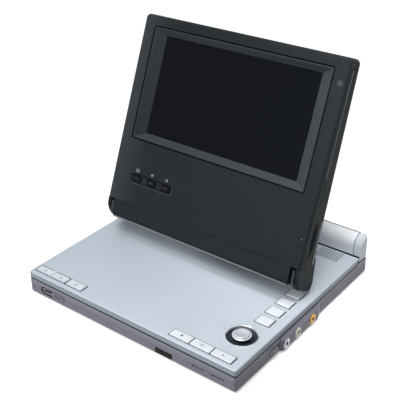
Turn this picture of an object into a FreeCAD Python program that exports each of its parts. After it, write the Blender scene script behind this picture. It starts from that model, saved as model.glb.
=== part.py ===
import FreeCAD, Part
import math
import os
import re
import Sketcher

# Portable disc player: a flat base with a hinged deck, and a screen on a folding support arm.
# Millimetres. X runs right along the front edge, Y runs back, Z is up, and the origin is on
# the floor under the middle of the base. The screen and the arm are drawn flat, each in its
# own frame, and their placements stand them up at the angles held in the sheet.

V = FreeCAD.Vector
doc = FreeCAD.newDocument("disc_player")

# Driving dimensions
SIZES = {
    # base and lid
    "base_width": 214.0,
    "base_depth": 198.0,
    "foot_height": 1.0,
    "case_height": 13.6,
    "case_wall": 1.8,
    "case_floor": 1.6,
    "corner_radius": 2.0,
    "bottom_chamfer": 1.2,
    "seam_gap": 0.9,
    "lid_height": 5.7,
    "lid_skin": 1.5,
    "lid_edge": 1.8,
    "lid_bevel": 0.7,
    "lid_gap": 1.0,
    "lid_axis_inset": 5.0,
    "lid_axis_rise": 2.7,
    "liner_sheet": 1.0,
    "fit_gap": 0.15,
    "run_gap": 0.05,
    "free_gap": 0.4,
    # rear bar
    "bar_depth": 14.0,
    "bar_rise": 24.0,
    "bar_curve": 10.0,
    "bar_back_curve": 3.0,
    "bar_wall": 1.6,
    "bar_end_length": 7.2,
    "bar_end_bevel": 2.4,
    "bar_seam": 0.4,
    # disc drive
    "disc_x": -12.0,
    "disc_y": -7.0,
    "disc_recess_radius": 61.5,
    "disc_recess_depth": 5.0,
    "well_skin": 1.4,
    "hub_radius": 7.3,
    "hub_flange_radius": 13.0,
    "motor_radius": 10.5,
    "motor_shaft_radius": 0.75,
    "rod_radius": 1.25,
    "rod_spacing": 40.0,
    "rod_length": 88.0,
    "screw_radius": 1.2,
    "sled_length": 17.0,
    "sled_inset": 24.0,
    "sled_travel": 34.0,
    "lens_radius": 2.4,
    # deck controls
    "key_inset": 8.3,
    "key_depth": 7.4,
    "key_proud": 1.0,
    "key_flange": 2.4,
    "key_gap": 0.6,
    "key_play": 0.3,
    "left_key_inset": 3.8,
    "rocker_width": 33.4,
    "left_key_width": 16.8,
    "left_key_gap": 2.2,
    "right_key_inset": 7.8,
    "right_key_width": 18.2,
    "right_key_gap": 1.0,
    "side_key_inset": 9.5,
    "side_key_width": 12.4,
    "side_key_depth": 9.2,
    "side_key_pitch": 14.5,
    "side_key_start": 56.4,
    "joystick_inset_x": 19.6,
    "joystick_inset_y": 35.7,
    "joystick_ring_radius": 13.2,
    "joystick_well_radius": 12.1,
    "joystick_cap_radius": 7.5,
    "speaker_inset_x": 24.0,
    "speaker_inset_y": 10.6,
    "speaker_radius": 10.5,
    "grille_pitch": 2.5,
    "grille_hole": 0.7,
    # front and side fittings
    "window_x": 40.0,
    "window_width": 16.6,
    "window_height": 5.8,
    "groove_level": 8.0,
    "groove_height": 0.6,
    "switch_x": -80.0,
    "switch_length": 28.0,
    "switch_height": 6.4,
    "switch_travel": 13.0,
    "slot_x": 73.2,
    "slot_pitch": 17.8,
    "slot_width": 11.6,
    "slot_height": 2.0,
    "bulge_out": 2.4,
    "bulge_start": 58.0,
    "bulge_end": 118.0,
    "headphone_inset": 64.0,
    "audio_inset": 80.8,
    "video_inset": 102.6,
    "jack_level": 7.0,
    "jack_radius": 4.3,
    "jack_proud": 0.7,
    "jack_bore_radius": 1.8,
    "jack_bore_depth": 13.0,
    "wheel_inset_y": 50.5,
    "wheel_radius": 7.6,
    "wheel_thickness": 3.6,
    "wheel_out": 2.2,
    "inlet_x": 72.0,
    "inlet_radius": 3.4,
    # support arm
    "arm_length": 105.72,
    "arm_angle": 59.593,
    "arm_width": 92.0,
    "arm_depth": 4.7,
    "arm_front_gap": 0.4,
    "barrel_radius": 3.1,
    "shaft_radius": 1.6,
    "shaft_reach": 8.0,
    "hinge_inset": 7.0,
    "hinge_level": 35.0,
    # screen unit
    "screen_width": 201.0,
    "screen_height": 181.0,
    "screen_lean": 22.0,
    "screen_depth_top": 16.5,
    "screen_depth_low": 24.9,
    "screen_split": 7.2,
    "screen_wall": 1.8,
    "screen_corner": 4.0,
    "screen_round": 2.6,
    "seam_width": 0.6,
    "seam_sunk": 0.8,
    "cheek_width": 3.2,
    "hook_inset": 4.2,
    "hook_width": 2.0,
    "strip_inset": 8.2,
    "pivot_height": 98.0,
    "pivot_depth": 13.8,
    "picture_width": 154.1,
    "picture_height": 86.6,
    "picture_bottom": 79.0,
    "picture_sunk": 5.0,
    "board_front": 3.5,
    "border_side": 11.0,
    "border_top": 6.2,
    "panel_sheet": 3.2,
    "strip_height": 14.6,
    "screen_key_level": 38.7,
    "screen_key_first": 27.1,
    "screen_key_pitch": 16.3,
    "screen_key_width": 8.8,
    "screen_key_height": 4.6,
    "key_tray_width": 47.0,
    "key_tray_height": 8.4,
    "card_slot_level": 38.0,
    "card_slot_length": 25.0,
    "scoop_length": 31.0,
    "scoop_curve": 44.3,
    "bumper_radius": 2.5,
}

sheet = doc.addObject("Spreadsheet::Sheet", "Sizes")
for row, (alias, size) in enumerate(SIZES.items(), start=1):
    sheet.set(f"A{row}", alias)
    sheet.set(f"B{row}", str(size))
    sheet.setAlias(f"B{row}", alias)
doc.recompute()


def bound(expression):
    """The expression with each size named in full, as the document's objects read it."""
    return re.sub(r"[a-z_]+", lambda m: "Sizes." + m[0] if m[0] in SIZES else m[0], str(expression))


def value(expression):
    """What the expression comes to now."""
    return float(sheet.evalExpression(str(expression)))


# Levels and edges that several pieces share
SIDE = "(base_width/2)"
FRONT = "(-base_depth/2)"
BACK = "(base_depth/2)"
BAR_FRONT = "(base_depth/2 - bar_depth)"
FLOOR_TOP = "(foot_height + case_floor)"
SEAM = "(foot_height + case_height)"
LID_LOW = "(foot_height + case_height + seam_gap)"
DECK = "(foot_height + case_height + seam_gap + lid_height)"
LID_BACK = f"({BAR_FRONT} - lid_gap)"
LID_AXIS_Y = f"({LID_BACK} - lid_axis_inset)"
LID_AXIS_Z = f"({LID_LOW} + lid_axis_rise)"
BAR_TOP = f"({SEAM} + 0.2 + bar_rise)"
HINGE_Y = f"({BACK} - hinge_inset)"
WELL_TOP = f"({SEAM} - 0.2)"
WELL_FLOOR = f"({WELL_TOP} - disc_recess_depth)"
BOARD_LOW = f"({LID_LOW} + liner_sheet + 0.2)"


class Drawing:
    """Lines, arcs and circles for one sketch, with the rules and sizes that hold them."""

    def __init__(self):
        self.lines = []
        self.rules = []
        self.sizes = []

    def add(self, line):
        self.lines.append(line)
        return len(self.lines) - 1

    def size(self, kind, expression, *where):
        """Bind a distance or a radius to an expression."""
        number = value(expression)
        self.rules.append(Sketcher.Constraint(kind, *where, abs(number) if kind == "Radius" else number))
        self.sizes.append((len(self.rules) - 1, f"abs({expression})" if kind == "Radius" else expression))

    def point(self, line, end, x, y):
        """Bind one end of a line or arc to an x and a y."""
        self.size("DistanceX", x, -1, 1, line, end)
        self.size("DistanceY", y, -1, 1, line, end)


class Piece:
    """One sub-part: a body whose sketches and features are bound to the sheet."""

    planes = {"XY": "XY_Plane", "XZ": "XZ_Plane", "YZ": "YZ_Plane"}

    def __init__(self, label):
        self.body = doc.addObject("PartDesign::Body", label)
        self.body.Label = label
        self.made = 0

    def name(self, kind):
        self.made += 1
        return f"{self.body.Label}_{kind}_{self.made}"

    def sketch(self, plane, level, shapes):
        """A sketch on one of the body's own planes, at a level along X, Y or Z."""
        base = [f for f in self.body.Origin.OriginFeatures if f.Role == self.planes[plane]][0]
        sketch = self.body.newObject("Sketcher::SketchObject", self.name("sketch"))
        sketch.AttachmentSupport = [(base, "")]
        sketch.MapMode = "FlatFace"
        sign = "-" if plane == "XZ" else ""
        sketch.setExpression("AttachmentOffset.Base.z", bound(f"{sign}({level})"))
        drawing = Drawing()
        for shape in shapes:
            shape(drawing)
        sketch.addGeometry(drawing.lines, False)
        sketch.addConstraint(drawing.rules)
        for number, expression in drawing.sizes:
            sketch.setExpression(f"Constraints[{number}]", bound(expression))
        return sketch

    def feature(self, kind, sketch, **sizes):
        feature = self.body.newObject(f"PartDesign::{kind}", self.name(kind.lower()))
        feature.Profile = sketch
        for key, expression in sizes.items():
            feature.setExpression(key, bound(expression))
        sketch.Visibility = False
        self.body.Tip = feature
        return feature

    def pad(self, plane, low, high, *shapes):
        """Material between two levels."""
        level = high if plane == "XZ" else low
        return self.feature("Pad", self.sketch(plane, level, shapes), Length=f"({high}) - ({low})")

    def cut(self, plane, low, high, *shapes):
        """A hollow between two levels."""
        level = low if plane == "XZ" else high
        return self.feature("Pocket", self.sketch(plane, level, shapes), Length=f"({high}) - ({low})")

    def turned(self, x, y, points):
        """A shape turned about an upright axis at x, y; each point is a radius and a height."""
        sketch = self.sketch("XZ", y, [outline(*points)])
        sketch.setExpression("AttachmentOffset.Base.x", bound(x))
        feature = self.feature("Revolution", sketch)
        feature.ReferenceAxis = (sketch, ["V_Axis"])
        feature.Angle = 360.0
        return feature

    def loft(self, kind, low, low_shape, high, high_shape):
        """A shape that runs from one outline on XY to another."""
        first = self.sketch("XY", low, [low_shape])
        second = self.sketch("XY", high, [high_shape])
        feature = self.feature(kind, first)
        feature.Sections = [second]
        feature.Ruled = True
        second.Visibility = False
        return feature

    def edges(self, along, test):
        """Names of the straight edges along an axis whose middle passes the test."""
        doc.recompute()
        names = []
        for number, edge in enumerate(self.body.Tip.Shape.Edges, start=1):
            first, last = edge.Vertexes[0].Point, edge.Vertexes[-1].Point
            run = last - first
            if run.Length < 1e-6 or abs(abs(getattr(run, along)) - run.Length) > 1e-4:
                continue
            if test((first + last) * 0.5):
                names.append(f"Edge{number}")
        return names

    def rims(self, test):
        """Names of the edges of any kind whose every end and middle pass the test."""
        doc.recompute()
        names = []
        for number, edge in enumerate(self.body.Tip.Shape.Edges, start=1):
            middle = edge.valueAt((edge.FirstParameter + edge.LastParameter) / 2)
            if all(test(p) for p in [v.Point for v in edge.Vertexes] + [middle]):
                names.append(f"Edge{number}")
        return names

    def soften(self, kind, size, names):
        """A fillet or a chamfer along the named edges."""
        base = self.body.Tip
        feature = self.body.newObject(f"PartDesign::{kind}", self.name(kind.lower()))
        feature.Base = (base, names)
        feature.setExpression("Radius" if kind == "Fillet" else "Size", bound(size))
        self.body.Tip = feature
        return feature

    def row(self, features, axis, length, count):
        """Copies of features along X, Y or Z."""
        line = [f for f in self.body.Origin.OriginFeatures if f.Role == f"{axis}_Axis"][0]
        pattern = self.body.newObject("PartDesign::LinearPattern", self.name("row"))
        pattern.Originals = features
        pattern.Direction = (line, [""])
        pattern.setExpression("Length", bound(length))
        pattern.Occurrences = count
        self.body.Tip = pattern
        return pattern

    def place(self, y, z, turn):
        """Stand a piece that is drawn flat: turned about X, then moved."""
        self.body.Placement = FreeCAD.Placement(V(0, 0, 0), FreeCAD.Rotation(V(1, 0, 0), 10))
        self.body.setExpression("Placement.Rotation.Angle", bound(turn))
        self.body.setExpression("Placement.Base.y", bound(y))
        self.body.setExpression("Placement.Base.z", bound(z))


def outline(*points):
    """A closed outline of lines; a third number on a point makes the side that ends there
    an arc of that radius, bulging to the right of its run, or to the left if negative."""

    def draw(drawing):
        spots = [V(value(p[0]), value(p[1]), 0) for p in points]
        sides = []
        for i, point in enumerate(points):
            a, b = spots[i - 1], spots[i]
            if len(point) == 2:
                sides.append((drawing.add(Part.LineSegment(a, b)), 1, 2))
                continue
            radius = value(point[2])
            run = b - a
            side = V(-run.y, run.x, 0).normalize() * (1 if radius > 0 else -1)
            centre = (a + b) * 0.5 + side * math.sqrt(max(radius ** 2 - run.Length ** 2 / 4, 0.0))
            first, last = (a, b) if radius > 0 else (b, a)
            angles = [math.atan2((p - centre).y, (p - centre).x) for p in (first, last)]
            circle = Part.Circle(centre, V(0, 0, 1), abs(radius))
            ends = (1, 2) if radius > 0 else (2, 1)
            sides.append((drawing.add(Part.ArcOfCircle(circle, *angles)), *ends))
        for i, point in enumerate(points):
            line, _, end = sides[i]
            after, start, _ = sides[(i + 1) % len(points)]
            drawing.rules.append(Sketcher.Constraint("Coincident", line, end, after, start))
            drawing.point(line, end, point[0], point[1])
            if len(point) == 3:
                drawing.size("Radius", point[2], line)

    return draw


def box(x0, y0, x1, y1):
    """A rectangle between two corners."""
    return outline((x0, y0), (x1, y0), (x1, y1), (x0, y1))


def centred(x, y, width, height):
    """A rectangle about its middle."""
    return box(
        f"({x}) - ({width})/2", f"({y}) - ({height})/2", f"({x}) + ({width})/2", f"({y}) + ({height})/2"
    )


def ring(x, y, radius):
    """A full circle."""

    def draw(drawing):
        circle = drawing.add(Part.Circle(V(value(x), value(y), 0), V(0, 0, 1), value(radius)))
        drawing.point(circle, 3, x, y)
        drawing.size("Radius", radius, circle)

    return draw


def pill(x, y, width, height):
    """A slot with round ends, its length along the sketch's first axis."""
    half = f"(({width})/2 - ({height})/2)"
    low, high, radius = f"({y}) - ({height})/2", f"({y}) + ({height})/2", f"({height})/2"
    left, right = f"({x}) - {half}", f"({x}) + {half}"
    far_left, far_right = f"({x}) - ({width})/2", f"({x}) + ({width})/2"
    return outline(
        (right, low), (far_right, y, radius), (right, high, radius),
        (left, high), (far_left, y, radius), (left, low, radius),
    )


def hexagon(x, y, radius):
    """A six-sided hole."""
    return outline(*[
        (f"({x}) + ({radius})*cos({60 * k})", f"({y}) + ({radius})*sin({60 * k})") for k in range(6)
    ])


def rounded(x0, y0, x1, y1, radius):
    """A rectangle with round corners."""
    return outline(
        (f"({x1}) - ({radius})", y0), (x1, f"({y0}) + ({radius})", radius),
        (x1, f"({y1}) - ({radius})"), (f"({x1}) - ({radius})", y1, radius),
        (f"({x0}) + ({radius})", y1), (x0, f"({y1}) - ({radius})", radius),
        (x0, f"({y0}) + ({radius})"), (f"({x0}) + ({radius})", y0, radius),
    )


def both_sides(low, high):
    """The two ranges along X that lie between a near and a far distance from the middle."""
    return (f"-({high})", f"-({low})"), (low, high)


def d_profile(inset):
    """The bar's end view, y and z: flat foot, upright front that curves over to a flat top."""
    low, front, back = f"({SEAM} + 0.2)", f"({BAR_FRONT} + {inset})", f"({BACK} - {inset})"
    top, curve = f"({BAR_TOP} - {inset})", f"(bar_curve - {inset})"
    return outline(
        (back, low), (back, f"{top} - bar_back_curve"), (f"{back} - bar_back_curve", top, "bar_back_curve"),
        (f"{front} + {curve}", top), (front, f"{top} - {curve}", curve), (front, low),
    )


# Bottom case: the dark lower shell, open at the top
SCREW_SPOTS = [
    (f"{side}*({SIDE} - 8)", y)
    for side in (-1, 1)
    for y in (f"{FRONT} + 12", f"{FRONT} + bulge_end + 1", f"{LID_AXIS_Y} - 12")
]
JACKS = [(f"{name}_jack", f"({FRONT} + {name}_inset)") for name in ("headphone", "audio", "video")]
case = Piece("bottom_case")
case.pad("XY", "foot_height", SEAM, rounded(f"-{SIDE}", FRONT, SIDE, BACK, "corner_radius"))
case.pad("XY", "foot_height", f"{SEAM} - 1.4", outline(
    (f"{SIDE} - case_wall/2", f"{FRONT} + bulge_end"),
    (f"{SIDE} - case_wall/2", f"{FRONT} + bulge_start"),
    (SIDE, f"{FRONT} + bulge_start"),
    (f"{SIDE} + bulge_out", f"{FRONT} + bulge_start + 2.4"),
    (f"{SIDE} + bulge_out", f"{FRONT} + bulge_end - 7"),
    (SIDE, f"{FRONT} + bulge_end"),
))
bulge_top = value(f"{SEAM} - 1.4")
edge_x = value(f"{SIDE} + 0.1")
case.soften("Chamfer", "bulge_out - 0.6", case.edges(
    "y", lambda m: m.x > edge_x and abs(m.z - bulge_top) < 0.01
))
case_low = value("foot_height")
case.soften("Chamfer", "bottom_chamfer", case.rims(lambda p: abs(p.z - case_low) < 0.01))
case.cut("XY", FLOOR_TOP, SEAM, rounded(
    f"-{SIDE} + case_wall", f"{FRONT} + case_wall", f"{SIDE} - case_wall", f"{BACK} - case_wall", "1.5"
))
case.pad("XY", FLOOR_TOP, f"{WELL_TOP} - well_skin", *[ring(x, y, "3.2") for x, y in SCREW_SPOTS])
case.cut("XY", "foot_height", f"{WELL_TOP} - well_skin - 3", *[ring(x, y, "1.1") for x, y in SCREW_SPOTS])
case.cut("XY", "foot_height", "foot_height + 1.5", *[ring(x, y, "2.4") for x, y in SCREW_SPOTS])
FOOT_SPOTS = [
    (f"{sx}*({SIDE} - 20)", f"{sy}*({BACK} - 14)") for sx in (-1, 1) for sy in (-1, 1)
]
case.cut("XY", "foot_height", "foot_height + 0.5", *[ring(x, y, "5.1") for x, y in FOOT_SPOTS])
case.cut("YZ", f"{SIDE} - case_wall - 1", f"{SIDE} + bulge_out + 1", *[
    ring(y, "jack_level", "jack_radius") for _, y in JACKS
])
WHEEL_Y = f"({FRONT} + wheel_inset_y)"
WHEEL_X = f"({SIDE} + wheel_out - wheel_radius)"
WHEEL_LOW = "(foot_height + case_height/2 - wheel_thickness/2)"
case.cut("YZ", f"{SIDE} - case_wall - 1", f"{SIDE} + 1", centred(
    WHEEL_Y, "foot_height + case_height/2", "wheel_radius*1.85", "wheel_thickness + 1"
))
case.pad("XY", FLOOR_TOP, f"{WHEEL_LOW} - free_gap", ring(WHEEL_X, WHEEL_Y, "3"))
case.pad("XY", f"{WHEEL_LOW} - free_gap", f"{WHEEL_LOW} + wheel_thickness + 1", ring(
    WHEEL_X, WHEEL_Y, "1.1 - run_gap"
))
SWITCH_Z = "(foot_height + case_height/2)"
case.cut("XZ", FRONT, f"{FRONT} + 0.8", pill("switch_x", SWITCH_Z, "switch_length", "switch_height + 0.6"))
case.cut("XZ", FRONT, f"{FRONT} + case_wall + 1", centred(
    "switch_x", SWITCH_Z, "switch_length - 8", "2.4"
))
WINDOW_Z = "(foot_height + 0.6 + window_height/2)"
case.cut("XZ", FRONT, f"{FRONT} + case_wall + 1", centred(
    "window_x", WINDOW_Z, "window_width", "window_height"
))
slot = case.cut("XZ", FRONT, f"{FRONT} + 1.2", centred(
    "slot_x", "foot_height + 6", "slot_width", "slot_height"
))
case.row([slot], "X", "slot_pitch", 2)
case.cut("XZ", FRONT, f"{FRONT} + 0.3", centred(
    "(switch_x + switch_length/2 + slot_x + slot_pitch + slot_width/2)/2", "groove_level",
    "slot_x + slot_pitch + slot_width/2 - switch_x - switch_length/2 - 2", "groove_height"
))
case.cut("XZ", f"{BACK} - case_wall - 1", BACK, ring(
    "inlet_x", "foot_height + case_height/2", "inlet_radius"
))
vent = case.cut("XZ", f"{BACK} - case_wall - 1", BACK, centred(
    "-72", "foot_height + case_height/2", "1.8", "7"
))
case.row([vent], "X", "36", 10)
under_vent = case.cut("XY", "foot_height", f"{FLOOR_TOP} + 1", centred(f"{SIDE} - 44", "-30", "1.8", "26"))
case.row([under_vent], "X", "27", 7)

feet = Piece("feet")
feet.pad("XY", "0", "foot_height + 0.5", *[ring(x, y, "5") for x, y in FOOT_SPOTS])
feet.soften("Chamfer", "0.3", feet.rims(lambda p: abs(p.z) < 0.01))

screws = Piece("case_screws")
screws.pad("XY", "foot_height + 0.3", "foot_height + 1.5", *[ring(x, y, "2.3") for x, y in SCREW_SPOTS])
screws.pad("XY", "foot_height + 1.5", "foot_height + 8", *[ring(x, y, "1.05") for x, y in SCREW_SPOTS])

# Infra-red window: a dark insert flush with the front
window = Piece("ir_window")
window.pad("XZ", f"{FRONT} - 0.2", f"{FRONT} + case_wall + 0.6", centred(
    "window_x", WINDOW_Z, "window_width - 0.2", "window_height - 0.2"
))
window_front = value(f"{FRONT} - 0.2")
window_low = value(f"{WINDOW_Z} - window_height/2 + 0.1")
window.soften("Chamfer", "0.7", window.edges(
    "x", lambda m: abs(m.y - window_front) < 0.01 and abs(m.z - window_low) < 0.01
))
window.soften("Fillet", "0.9", window.edges("y", lambda m: True))

# Slide switch: the ridged knob in the front recess; its stem runs in the slot behind it
KNOB_X = "(switch_x + switch_travel/2)"
knob = Piece("slide_knob")
knob.pad("XZ", f"{FRONT} - 0.5", f"{FRONT} + 0.6", pill(
    KNOB_X, SWITCH_Z, "switch_length - switch_travel - 1.2", "switch_height - 0.4"
))
ridge = knob.cut("XZ", f"{FRONT} - 0.5", f"{FRONT} + 0.2", centred(
    f"{KNOB_X} - 3.6", SWITCH_Z, "0.8", "switch_height - 2.6"
))
knob.row([ridge], "X", "7.2", 5)
knob.pad("XZ", f"{FRONT} + 0.6", f"{FRONT} + case_wall + 2", centred(KNOB_X, SWITCH_Z, "4", "2"))

# Jacks in the bulge on the right side: each is a ringed barrel with a plug bore
JACK_OUT = f"({SIDE} + bulge_out)"
for label, jack_y in JACKS:
    jack = Piece(label)
    jack.pad("YZ", f"{JACK_OUT} - 15", f"{JACK_OUT} - 0.1", ring(
        jack_y, "jack_level", "jack_radius - run_gap"
    ))
    jack.pad("YZ", f"{JACK_OUT} - 0.1", f"{JACK_OUT} + jack_proud", ring(
        jack_y, "jack_level", "jack_radius - 0.5"
    ))
    jack.pad("YZ", f"{JACK_OUT} - 18", f"{JACK_OUT} - bulge_out - case_wall - 1.2", centred(
        jack_y, "jack_level - 0.2", "9.6", "8.4"
    ))
    jack.cut("YZ", f"{JACK_OUT} + jack_proud - jack_bore_depth", f"{JACK_OUT} + jack_proud", ring(
        jack_y, "jack_level", "jack_bore_radius"
    ))

inlet = Piece("dc_inlet")
inlet.pad("XZ", f"{BACK} - 11", f"{BACK} - 0.2", ring(
    "inlet_x", "foot_height + case_height/2", "inlet_radius - run_gap"
))
inlet.cut("XZ", f"{BACK} - 9.5", BACK, ring("inlet_x", "foot_height + case_height/2", "2.4"))
inlet.pad("XZ", f"{BACK} - 9.7", f"{BACK} - 1", ring("inlet_x", "foot_height + case_height/2", "0.75"))

# Volume wheel: a serrated thumb wheel that turns on an upright pin
wheel = Piece("volume_wheel")
wheel.turned(WHEEL_X, WHEEL_Y, [
    ("1.1", f"{WHEEL_LOW}"), ("wheel_radius - 0.5", f"{WHEEL_LOW}"),
    ("wheel_radius", f"{WHEEL_LOW} + 0.5"), ("wheel_radius", f"{WHEEL_LOW} + wheel_thickness - 0.5"),
    ("wheel_radius - 0.5", f"{WHEEL_LOW} + wheel_thickness"), ("1.1", f"{WHEEL_LOW} + wheel_thickness"),
])
TEETH = 28
wheel.cut("XY", WHEEL_LOW, f"{WHEEL_LOW} + wheel_thickness", *[
    centred(
        f"{WHEEL_X} + wheel_radius*cos({360 * k / TEETH})",
        f"{WHEEL_Y} + wheel_radius*sin({360 * k / TEETH})", "0.7", "0.7",
    )
    for k in range(TEETH)
])

# Inner deck: the moulding under the lid, with the disc recess
HOOK_Y = f"({FRONT} + 7)"
well = Piece("disc_well")
well.pad("XY", f"{WELL_TOP} - well_skin", WELL_TOP, rounded(
    f"-{SIDE} + case_wall + fit_gap", f"{FRONT} + case_wall + fit_gap",
    f"{SIDE} - case_wall - fit_gap", f"{LID_AXIS_Y} + 3", "1.5",
))
well.pad("XY", f"{WELL_FLOOR} - well_skin", WELL_TOP, ring(
    "disc_x", "disc_y", "disc_recess_radius + well_skin"
))
well.cut("XY", WELL_FLOOR, WELL_TOP, ring("disc_x", "disc_y", "disc_recess_radius"))
SLED_REACH = "(disc_x + sled_inset + sled_travel + 8)"
well.cut("XY", f"{WELL_FLOOR} - well_skin", WELL_FLOOR, outline(
    (SLED_REACH, "disc_y - 9"), (SLED_REACH, "disc_y + 9"), ("disc_x", "disc_y + 15"),
    ("disc_x - 15", "disc_y", "15"), ("disc_x", "disc_y - 15", "15"),
))
well.cut("XY", f"{WELL_TOP} - well_skin", WELL_TOP, centred("0", HOOK_Y, "12", "6"))

# Disc drive under the inner deck: motor, hub, rods, screw, sled
CHASSIS_TOP = f"({WELL_FLOOR} - well_skin - 0.2)"
CHASSIS_LOW = f"({CHASSIS_TOP} - 1)"
ROD_Z = f"({FLOOR_TOP} + 2.2)"
ROD_X0 = "(disc_x - 14)"
SLED_X = "(disc_x + sled_inset)"
DISC_Z = f"({WELL_FLOOR} + 2.4)"
chassis = Piece("chassis_plate")
chassis.pad("XY", CHASSIS_LOW, CHASSIS_TOP, rounded(
    f"{ROD_X0} - 13", "disc_y - rod_spacing/2 - 9",
    f"{ROD_X0} + rod_length + 5", "disc_y + rod_spacing/2 + 9", "4"
))
chassis.cut("XY", CHASSIS_LOW, CHASSIS_TOP, rounded(
    f"{SLED_X} - sled_length/2 - 3", "disc_y - rod_spacing/2 - 5",
    f"{ROD_X0} + rod_length - 4", "disc_y + rod_spacing/2 + 5", "2",
), ring("disc_x", "disc_y", "5"))
SCREW_Y = "(disc_y - rod_spacing/2 - 5)"
for x in (f"{ROD_X0} + 1", f"{ROD_X0} + rod_length - 1"):
    chassis.pad("XY", f"{ROD_Z} - rod_radius - 0.6", CHASSIS_LOW, centred(
        x, "disc_y + rod_spacing/2", "4", "5"
    ), centred(x, "disc_y - rod_spacing/2 - 2.5", "4", "10"))
chassis.cut("YZ", f"{ROD_X0} - 2", f"{ROD_X0} + rod_length + 2", *[
    ring(f"disc_y + {side}*rod_spacing/2", ROD_Z, "rod_radius") for side in (-1, 1)
], ring(SCREW_Y, ROD_Z, "screw_radius + run_gap"))
for side in (-1, 1):
    chassis.pad("XY", FLOOR_TOP, CHASSIS_LOW, ring(
        f"{ROD_X0} + rod_length + 2", f"disc_y + {side}*(rod_spacing/2 + 6)", "2"
    ), ring(f"{ROD_X0} - 9", f"disc_y + {side}*12", "2"))

rods = Piece("guide_rods")
rods.pad("YZ", f"{ROD_X0} - 1", f"{ROD_X0} + rod_length + 1", *[
    ring(f"disc_y + {side}*rod_spacing/2", ROD_Z, "rod_radius") for side in (-1, 1)
])

motor = Piece("spindle_motor")
motor.turned("disc_x", "disc_y", [
    ("0", f"{FLOOR_TOP} + 0.4"), ("motor_radius", f"{FLOOR_TOP} + 0.4"),
    ("motor_radius", f"{CHASSIS_LOW} - 0.6"), ("motor_radius - 0.6", CHASSIS_LOW),
    ("4", CHASSIS_LOW), ("4", f"{CHASSIS_TOP} + 0.2"), ("motor_shaft_radius", f"{CHASSIS_TOP} + 0.2"),
    ("motor_shaft_radius", f"{DISC_Z} + 1"), ("0", f"{DISC_Z} + 1"),
])

hub = Piece("turntable")
hub.turned("disc_x", "disc_y", [
    ("motor_shaft_radius + run_gap", f"{CHASSIS_TOP} + 0.6"), ("3", f"{CHASSIS_TOP} + 0.6"),
    ("3", f"{DISC_Z} - 1.2"), ("hub_flange_radius", f"{DISC_Z} - 1"), ("hub_flange_radius", DISC_Z),
    ("hub_radius", DISC_Z), ("hub_radius", f"{DISC_Z} + 1.2"), ("hub_radius - 1.4", f"{DISC_Z} + 2"),
    ("3", f"{DISC_Z} + 2"), ("2.4", f"{DISC_Z} + 1.4"), ("motor_shaft_radius + run_gap", f"{DISC_Z} + 1.4"),
])
hub.cut("XY", f"{DISC_Z} + 0.6", f"{DISC_Z} + 2", *[
    centred(f"disc_x + 5.4*cos({120 * k})", f"disc_y + 5.4*sin({120 * k})", "2.2", "2.2") for k in range(3)
])

feed = Piece("feed_screw")
feed.pad("YZ", f"{ROD_X0} + 3.4", f"{ROD_X0} + rod_length - 0.5", ring(SCREW_Y, ROD_Z, "screw_radius"))
feed.pad("YZ", f"{ROD_X0} - 4.5", f"{ROD_X0} + 3.4", ring(SCREW_Y, ROD_Z, "0.75 - run_gap"))
drive = Piece("feed_motor")
drive.pad("YZ", f"{ROD_X0} - 12", f"{ROD_X0} - 1.2", outline(
    (f"{SCREW_Y} - 3", f"{ROD_Z} - 1.9", "2.6"), (f"{SCREW_Y} + 2.4", f"{ROD_Z} - 1.9"),
    (f"{SCREW_Y} + 2.4", CHASSIS_LOW, "2.6"), (f"{SCREW_Y} - 3", CHASSIS_LOW),
))
drive.cut("YZ", f"{ROD_X0} - 5", f"{ROD_X0} - 1.2", ring(SCREW_Y, ROD_Z, "0.75"))

sled = Piece("laser_sled")
SLED_LOW = f"({ROD_Z} - rod_radius - 0.5)"
SLED_TOP = f"({CHASSIS_TOP} - 0.4)"
sled.pad("XY", SLED_LOW, SLED_TOP, outline(
    (f"{SLED_X} - sled_length/2", "disc_y - rod_spacing/2 - 3"),
    (f"{SLED_X} + sled_length/2", "disc_y - rod_spacing/2 - 3"),
    (f"{SLED_X} + sled_length/2 - 3", "disc_y - 9"), (f"{SLED_X} + sled_length/2 - 3", "disc_y + 9"),
    (f"{SLED_X} + sled_length/2", "disc_y + rod_spacing/2 + 3"),
    (f"{SLED_X} - sled_length/2", "disc_y + rod_spacing/2 + 3"),
    (f"{SLED_X} - sled_length/2 + 1", "disc_y + 9"), (f"{SLED_X} - sled_length/2 + 1", "disc_y - 9"),
))
sled.pad("XY", SLED_TOP, f"{WELL_FLOOR} - 0.4", centred(SLED_X, "disc_y", "11", "13"))
sled.cut("YZ", f"{SLED_X} - sled_length/2 - 1", f"{SLED_X} + sled_length/2 + 1", *[
    ring(f"disc_y + {side}*rod_spacing/2", ROD_Z, "rod_radius + run_gap") for side in (-1, 1)
])
sled.cut("XY", f"{WELL_FLOOR} - 1.4", f"{WELL_FLOOR} - 0.4", ring(SLED_X, "disc_y", "lens_radius"))
sled.pad("XY", f"{ROD_Z} - 0.8", f"{ROD_Z} + 0.8", box(
    f"{SLED_X} - 2", f"{SCREW_Y} + screw_radius + 0.3", f"{SLED_X} + 2", "disc_y - rod_spacing/2 - 2.5"
))

lens = Piece("objective_lens")
lens.turned(SLED_X, "disc_y", [
    ("0", f"{WELL_FLOOR} - 1.4"), ("lens_radius", f"{WELL_FLOOR} - 1.4"),
    ("lens_radius", f"{WELL_FLOOR} - 0.2"), ("1.7", f"{WELL_FLOOR} + 0.1"), ("0", f"{WELL_FLOOR} + 0.5"),
])

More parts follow.
